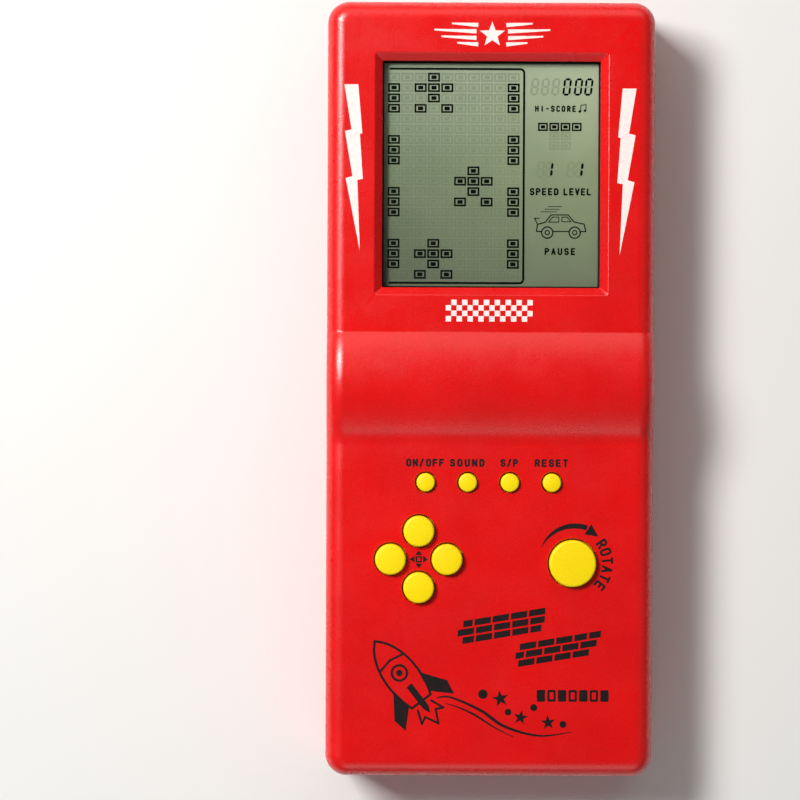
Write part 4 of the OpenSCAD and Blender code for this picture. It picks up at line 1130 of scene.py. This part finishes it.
hull_line = [(0, 11.2), (1.9, 8.9), (3.3, 5.6), (3.9, 1.8), (3.7, -2.4), (2.7, -6.2)]
left_side = curve(hull_line, 6)
right_side = [(-x, y) for x, y in reversed(left_side)][:-1]
art = craft_line(left_side + right_side + left_side[:1], 0.55)
art += stroke(craft([(-3.45, 4.9), (0, 5.6), (3.45, 4.9)]), 0.5)
art.append(craft([(3.6, -0.4), (7.6, -6.0), (7.0, -9.4), (2.9, -5.4)])[::-1])
art.append(craft([(-3.6, -0.4), (-7.6, -6.0), (-7.0, -9.4), (-2.9, -5.4)]))
art.append(craft([(-0.75, -1.6), (0.75, -1.6), (0.75, -7.9), (0, -9.6), (-0.75, -7.9)])[::-1])
art += craft_line([(1.75 * cos(a), 2.0 + 1.75 * sin(a)) for a in spread(0, TAU, 24)], 0.55)
flame = [(-1.9, -7.4), (-3.1, -10.4), (-1.5, -9.6), (0, -12.6), (1.5, -9.6), (3.1, -10.4), (1.9, -7.4)]
art += craft_line(flame, 0.5)
art += [circle(*craft([(0.0, 2.0)])[0], 0.75, 16)]
printed("print_rocket", art)

long = [(-12.07, -70.46), (-8.85, -70.23), (-1.93, -73.22), (3.61, -76.9), (11.44, -78.97), (19.02, -78.05)]
short = [(-9.99, -71.61), (-6.6, -72.7), (-3.08, -74.37), (1.4, -77.2), (5.46, -79.2)]
stars = [(2.59, -70.53, 2.0, 100), (7.23, -74.79, 1.75, 80), (13.49, -75.94, 1.75, 95)]
dots = [(-1.42, -69.5, 1.08), (4.35, -73.57, 0.76), (10.21, -72.53, 0.8), (16.9, -76.33, 0.8)]
trail = [ribbon(curve(long, 8), [0.25, 0.5, 0.75, 0.5, 0.12]), ribbon(curve(short, 8), [0.15, 0.5, 0.15])]
trail += [star(*values, 0.4) for values in stars] + [circle(*values, 24) for values in dots]
printed("print_trail", trail)

# ---- the display

LC_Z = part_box("front_polarizer")[1].z / MM  # the picture shows at the top of the display's film
LC_LOW, LC_TOP = LC_Z - 0.012, LC_Z + 0.008
COLS, ROWS = 10, 20
NEXT_CELL = (2.26, 1.9, 0.38, 1.0, 0.7)  # width, height, line and dot of the next block's cells
CELL_X, CELL_Y, STEP_X, STEP_Y = -22.31, 71.59, 3.045, 2.376
CELL_W, CELL_H, LINE, DOT_W, DOT_H = 2.78, 2.04, 0.42, 1.2, 0.86
CAR = [(1, 0), (0, 1), (1, 1), (2, 1), (1, 2), (0, 3), (2, 3)]
LIT = {(c, r) for c in (0, 9) for r in range(20) if r not in (0, 4, 5, 9, 10, 14, 15, 19)}
LIT |= {(c + dc, r + dr) for c, r in ((2, 0), (5, 9), (2, 16)) for dc, dr in CAR}


def frame_quads(cx, cy, w, h, t):
    """Rectangle drawn as four mitred bars."""
    o, i = rect(cx, cy, w, h), rect(cx, cy, w - 2 * t, h - 2 * t)
    return [[o[k], o[(k + 1) % 4], i[(k + 1) % 4], i[k]] for k in range(4)]


def cell_quads(cx, cy, w=CELL_W, h=CELL_H, t=LINE, dw=DOT_W, dh=DOT_H):
    return frame_quads(cx, cy, w, h, t) + [rect(cx, cy, dw, dh)]


SEGMENTS = {
    "a": ((0, 6), (4, 6)), "b": ((4, 6), (4, 3)), "c": ((4, 3), (4, 0)), "d": ((4, 0), (0, 0)),
    "e": ((0, 0), (0, 3)), "f": ((0, 3), (0, 6)), "g": ((0, 3), (4, 3)),
}
DIGITS = {"0": "abcdef", "1": "bc", "8": "abcdefg"}


def digit(which, cx, cy, w, h, t, slant=0.12):
    """Leaning seven-segment figure, each bar with pointed ends."""
    out = []
    for name in DIGITS.get(which, which):
        (x1, y1), (x2, y2) = SEGMENTS[name]
        a = Vector((cx + (x1 / 4 - 0.5) * (w - t), cy + (y1 / 6 - 0.5) * (h - t)))
        b = Vector((cx + (x2 / 4 - 0.5) * (w - t), cy + (y2 / 6 - 0.5) * (h - t)))
        d = (b - a).normalized()
        s = Vector((-d.y, d.x)) * t / 2
        cut = d * t * 0.62
        pts = [a + d * 0.1 * t, a + cut - s, b - cut - s, b - d * 0.1 * t, b - cut + s, a + cut + s]
        out.append([(p.x + slant * (p.y - cy), p.y) for p in pts])
    return out


dark, ghost = [], []
for row in range(ROWS):
    for col in range(COLS):
        quads = cell_quads(CELL_X + col * STEP_X, CELL_Y - row * STEP_Y)
        (dark if (col, row) in LIT else ghost).extend(quads)

# line about the playing field
field_top, field_low, field_left, field_right = 73.52, 24.5, -23.4, 7.5
corner = 0.9
path = [(field_left, field_top), (field_right - corner, field_top)]
turns = [(corner * cos(a), corner * sin(a)) for a in spread(0, pi / 2, 6)][1:]
path += [(field_right - corner + s, field_top - corner + c) for c, s in turns]
path += [(field_right, field_low + corner)]
path += [(field_right - corner + c, field_low + corner - s) for c, s in turns]
path += [(field_left, field_low)]
field_line = ribbon(path, [0.5, 0.5])

# figures and words of the right-hand panel
for i, x in enumerate((9.95, 12.35, 14.75, 17.35, 19.95, 22.3)):
    (ghost if i < 3 else dark).extend(digit("8" if i < 3 else "0", x, 69.5, 1.85, 4.0, 0.5))
    if i >= 3:
        ghost.extend(digit("g", x, 69.5, 1.85, 4.0, 0.5))
for i in range(4):
    dark.extend(cell_quads(10.75 + 1.1 + i * 2.58, 60.35, *NEXT_CELL))
for x, y in ((14.47, 58.25), (17.1, 58.25), (14.47, 56.06), (17.1, 56.06)):
    ghost.extend(cell_quads(x, y, *NEXT_CELL))
for x in (11.35, 18.3):
    ghost.extend(digit("8", x, 50.6, 1.8, 3.7, 0.46))
for x in (13.3, 20.2):
    dark.extend(digit("1", x, 50.6, 1.8, 3.7, 0.56))
    ghost.extend(digit("adefg", x, 50.6, 1.8, 3.7, 0.46))

lettering = word("HI-SCORE", 14.7, 64.5, 1.1, 1.22, 0.34, squeeze=0.72)
lettering += word("SPEED", 12.2, 45.5, 1.3, 1.38, 0.38, squeeze=0.78)
lettering += word("LEVEL", 19.8, 45.5, 1.3, 1.34, 0.38, squeeze=0.78)
lettering += word("PAUSE", 15.9, 31.8, 1.25, 1.5, 0.38, squeeze=0.84)
# a note
lettering += stroke([(20.5, 63.9), (20.5, 65.3), (21.7, 65.5), (21.7, 64.1)], 0.2)
lettering += [circle(20.25, 63.9, 0.3, 12), circle(21.45, 64.1, 0.3, 12)]
# small racing car, drawn in outline
spot = Vector((16.1, 37.9))


def car_line(points, width):
    """Stroke through points given from the car's middle."""
    return stroke([tuple(spot + Vector(p)) for p in points], width)


car = [(-5.6, -1.5), (-5.4, 0.1), (-3.6, 0.6), (-2.3, 2.3), (1.6, 2.3)]
lettering += car_line(car + [(3.0, 0.7), (5.3, 0.2), (5.7, -1.5), (4.5, -1.5)], 0.26)
lettering += car_line([(-4.4, -1.5), (-5.6, -1.5)], 0.26) + car_line([(1.9, -1.5), (-1.9, -1.5)], 0.26)
lettering += car_line([(-2.9, 0.65), (-1.9, 1.8), (-0.5, 1.8), (-0.5, 0.65), (-2.9, 0.65)], 0.2)
lettering += car_line([(0.2, 1.8), (1.4, 1.8), (2.3, 0.75), (0.2, 0.75), (0.2, 1.8)], 0.2)
for x in (-3.15, 3.15):
    hub_at = spot + Vector((x, -1.75))
    for r, w in ((1.3, 0.3), (0.5, 0.25)):
        loop = circle(hub_at.x, hub_at.y, r, 16)
        lettering += stroke(loop + loop[:1], w, 6)
lettering += car_line([(-5.4, 0.2), (-6.1, 1.5), (-5.1, 1.5)], 0.24)
for y in (3.0, 3.6, 4.2):
    lettering += car_line([(-4.6 + (y - 3) * 1.4, y), (-1.0 + (y - 3), y)], 0.16)

piece(plane_mesh(dark + [field_line], LC_LOW, LC_TOP), "lcd_marks_dark", segment_on, "lcd_segment")
piece(plane_mesh(lettering, LC_LOW, LC_TOP), "lcd_marks_words", segment_on, "lcd_segment")
piece(plane_mesh(ghost, LC_LOW, LC_TOP), "lcd_marks_faint", segment_off, "lcd_segment")


def finish_node(name, material):
    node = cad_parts[name]
    node.data.materials.clear()
    node.data.materials.append(material)


finish_node("window_gasket", foam)
finish_node("display_frame", frame_white)
finish_node("circuit_board", board)


def plate(node, name, material, slot, corner=0.0, edge=0.05, air=0.0):
    """Plate that stands for a CAD layer, its edges dressed, a hair clear of what it lies on."""
    low, high = (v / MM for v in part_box(node))
    b = Build()
    mid_x, mid_y = (low.x + high.x) / 2, (low.y + high.y) / 2
    b.prism(rect(mid_x, mid_y, high.x - low.x, high.y - low.y, corner, 6), low.z + air, high.z - air, edge)
    return piece(b, name, material, slot, replaces=[node])


plate("display_window", "display_window_pane", window_clear, "window_clear", 1.0, 0.1)
plate("front_polarizer", "polarizer_sheet", display_tone, "polarizer_film", 0.3, 0.03, 0.006)
plate("front_glass", "front_glass_plate", glass_layer, "lcd_glass", 0, 0.08, 0.008)
plate("rear_glass", "rear_glass_plate", glass_layer, "lcd_glass", 0, 0.08, 0.012)
plate("reflector", "reflector_foil", foil, "lcd_reflector", 0.3, 0.03, 0.006)

# ---- inner parts

silicone = plastic(
    "silicone", (205, 208, 203), 0.5, grain=2000, grain_mm=0.004, mottle=0.05, wear=0.05, scuff=0.1
)
carbon = plastic("carbon_pill", (38, 38, 40), 0.7, grain=5000, grain_mm=0.02, mottle=0.15, wear=0.2)
epoxy = plastic("epoxy_black", (20, 20, 21), 0.2, grain=400, grain_mm=0.05, mottle=0.1, wear=0.05, scuff=0.1)
steel = metal("contact_steel", (196, 198, 202), 0.28, (1, 0.05, 1))
zinc = metal("screw_zinc", (188, 190, 196), 0.3, (1, 1, 0.1), 1400)
brass = metal("brass_disc", (206, 170, 92), 0.3, (1, 0.08, 1), 1500, stain=0.35)
ceramic = plastic("piezo_ceramic", (216, 214, 200), 0.45, grain=6000, grain_mm=0.006, mottle=0.05, wear=0.1)
WIRE_RED, WIRE_BLACK = (190, 26, 22), (24, 24, 26)
wire_red = plastic("wire_red", WIRE_RED, 0.35, grain=1500, grain_mm=0.004, mottle=0.05)
wire_black = plastic("wire_black", WIRE_BLACK, 0.35, grain=1500, grain_mm=0.004, mottle=0.1)
flex = plastic("flex_film", (190, 168, 112), 0.3, grain=900, grain_mm=0.006, mottle=0.08)
jacket = cell_jacket()
rings = [(0.2, (120, 60, 20)), (0.4, (20, 20, 20)), (0.6, (170, 30, 20))]
resistor_mat = banded("resistor_tan", (206, 178, 128), rings, "X", 0.004, 0.35)
orange_disc = plastic("capacitor_orange", (196, 112, 42), 0.4, grain=900, grain_mm=0.02, mottle=0.08)
blue_can = banded("capacitor_blue", (28, 36, 92), [(0.85, (190, 196, 210))], "X", 0.0052, 0.3)


def wire_pair():
    """Jackets of the two buzzer wires: red on the right, black on the left."""
    s = Shade("wire_pair")
    grain = s.noise(1500)
    black, red_side = (s.tones(grain, tone, 0.9, 1.1) for tone in (WIRE_BLACK, WIRE_RED))
    s.bump(grain, 0.004)
    base = s.mix(black, red_side, s.between(s.spot("X"), -MM, MM))
    return s.finish(base, s.scaled(grain, 0.15, 0.3))


for key in BUTTON_R:
    finish_node(key + "_contact_pill", carbon)
for name, material in (
    ("function_key_mat", silicone), ("direction_key_mat", silicone), ("rotate_key_mat", silicone),
    ("chip_blob", epoxy), ("buzzer_transistor", epoxy), ("display_ribbon", flex),
    ("resistors", resistor_mat), ("ceramic_capacitors", orange_disc), ("filter_capacitor", blue_can),
    ("piezo_disc", brass), ("piezo_ceramic", ceramic),
    ("battery_cell_a", jacket), ("battery_cell_b", jacket),
    ("positive_contact", steel), ("negative_contact", steel), ("bridge_contact", steel),
    ("battery_wire_positive", wire_red), ("battery_wire_negative", wire_black), ("buzzer_wires", wire_pair()),
):
    finish_node(name, material)

for name, spots, seat, length, shank, head_r, head_h in (
    ("case_screws", CASE_SPOTS, CASE_SEAT_Z, 12, 1.3, 2.3, 1.6),
    ("board_screws", BOARD_SPOTS, 12.4, 6, 1.0, 1.8, 1.3),
    ("display_screws", DISPLAY_SPOTS, 14.9, 5, 1.0, 1.8, 1.3),
):
    b = Build()
    for at in spots:
        cross_screw(b, at, seat, length, shank, head_r, head_h)
    piece(b, name + "_turned", zinc, "screw_zinc", replaces=[name])

# ---- floor, light, camera

floor_paint = Shade("floor_paint")
floor_tone = floor_paint.ramp(floor_paint.noise(3, 3), [(0.3, rgb(232, 232, 230)), (0.7, rgb(238, 238, 236))])
floor_rough = floor_paint.scaled(floor_paint.noise(40, 3), 0.1, 0.75)
floor_paint.finish(floor_tone, floor_rough, Specular_IOR_Level=0.2)
floor = place("floor", bpy.data.meshes.new("floor"))
floor.data.from_pydata([(-3, -3, 0), (3, -3, 0), (3, 3, 0), (-3, 3, 0)], [], [(0, 1, 2, 3)])
floor.data.materials.append(floor_paint.m)

world = bpy.data.worlds.new("studio")
world.use_nodes = True
sky = world.node_tree.nodes["Background"]
sky.inputs["Strength"].default_value = WORLD_LIGHT
# the room is dimmer straight above, where the camera stands
tree = world.node_tree
aloft = tree.nodes.new("ShaderNodeSeparateXYZ")
tree.links.new(tree.nodes.new("ShaderNodeTexCoord").outputs["Generated"], aloft.inputs[0])
room = tree.nodes.new("ShaderNodeValToRGB")
tree.links.new(aloft.outputs["Z"], room.inputs["Fac"])
room.color_ramp.elements.new(0.5)
for e, (at, tone) in zip(room.color_ramp.elements, [(0.45, 0.5), (0.75, 1.0), (0.97, 0.2)]):
    e.position, e.color = at, (tone * 0.96, tone * 0.98, tone, 1)
tree.links.new(room.outputs["Color"], sky.inputs["Color"])
bpy.context.scene.world = world


def lamp(name, spot, aim, size, watts, tint=(1, 1, 1)):
    light = bpy.data.lights.new(name, "AREA")
    light.shape = "RECTANGLE"
    light.size, light.size_y = size
    light.energy = watts
    light.color = tint
    obj = place(name, light)
    obj.location = spot
    obj.rotation_euler = (Vector(aim) - Vector(spot)).to_track_quat("-Z", "Y").to_euler()


lamp("key", KEY_AT, (0, 0.01, 0.02), (0.32, 0.22), KEY_WATTS, (1.0, 0.99, 0.98))
lamp("fill", (0.05, 0.8, 0.55), (0, 0, 0.02), (1.3, 0.6), FILL_WATTS, (1.0, 0.93, 0.86))
lamp("low", (0.1, -0.8, 0.5), (0, 0, 0.02), (0.7, 0.4), LOW_WATTS, (1.0, 0.98, 0.95))

# straight down from above, a little from the screen end
reach = 0.6
aim = Vector((AIM_X * MM, AIM_Y * MM, FACE_Z * MM))
tilt = radians(TILT_DEG)
camera = place("camera", bpy.data.cameras.new("camera"))
camera.location = aim + reach * Vector((0, sin(tilt), cos(tilt)))
lean = Matrix.Rotation(radians(LEAN_DEG), 4, "Z")
camera.rotation_euler = (Matrix.Rotation(-tilt, 4, "X") @ lean).to_euler()
camera.data.sensor_width = 36
camera.data.lens = 36 * reach / (VIEW_MM * MM)
camera.data.clip_start, camera.data.clip_end = 0.01, 10
bpy.context.scene.camera = camera
bpy.context.scene.view_settings.view_transform = "Standard"
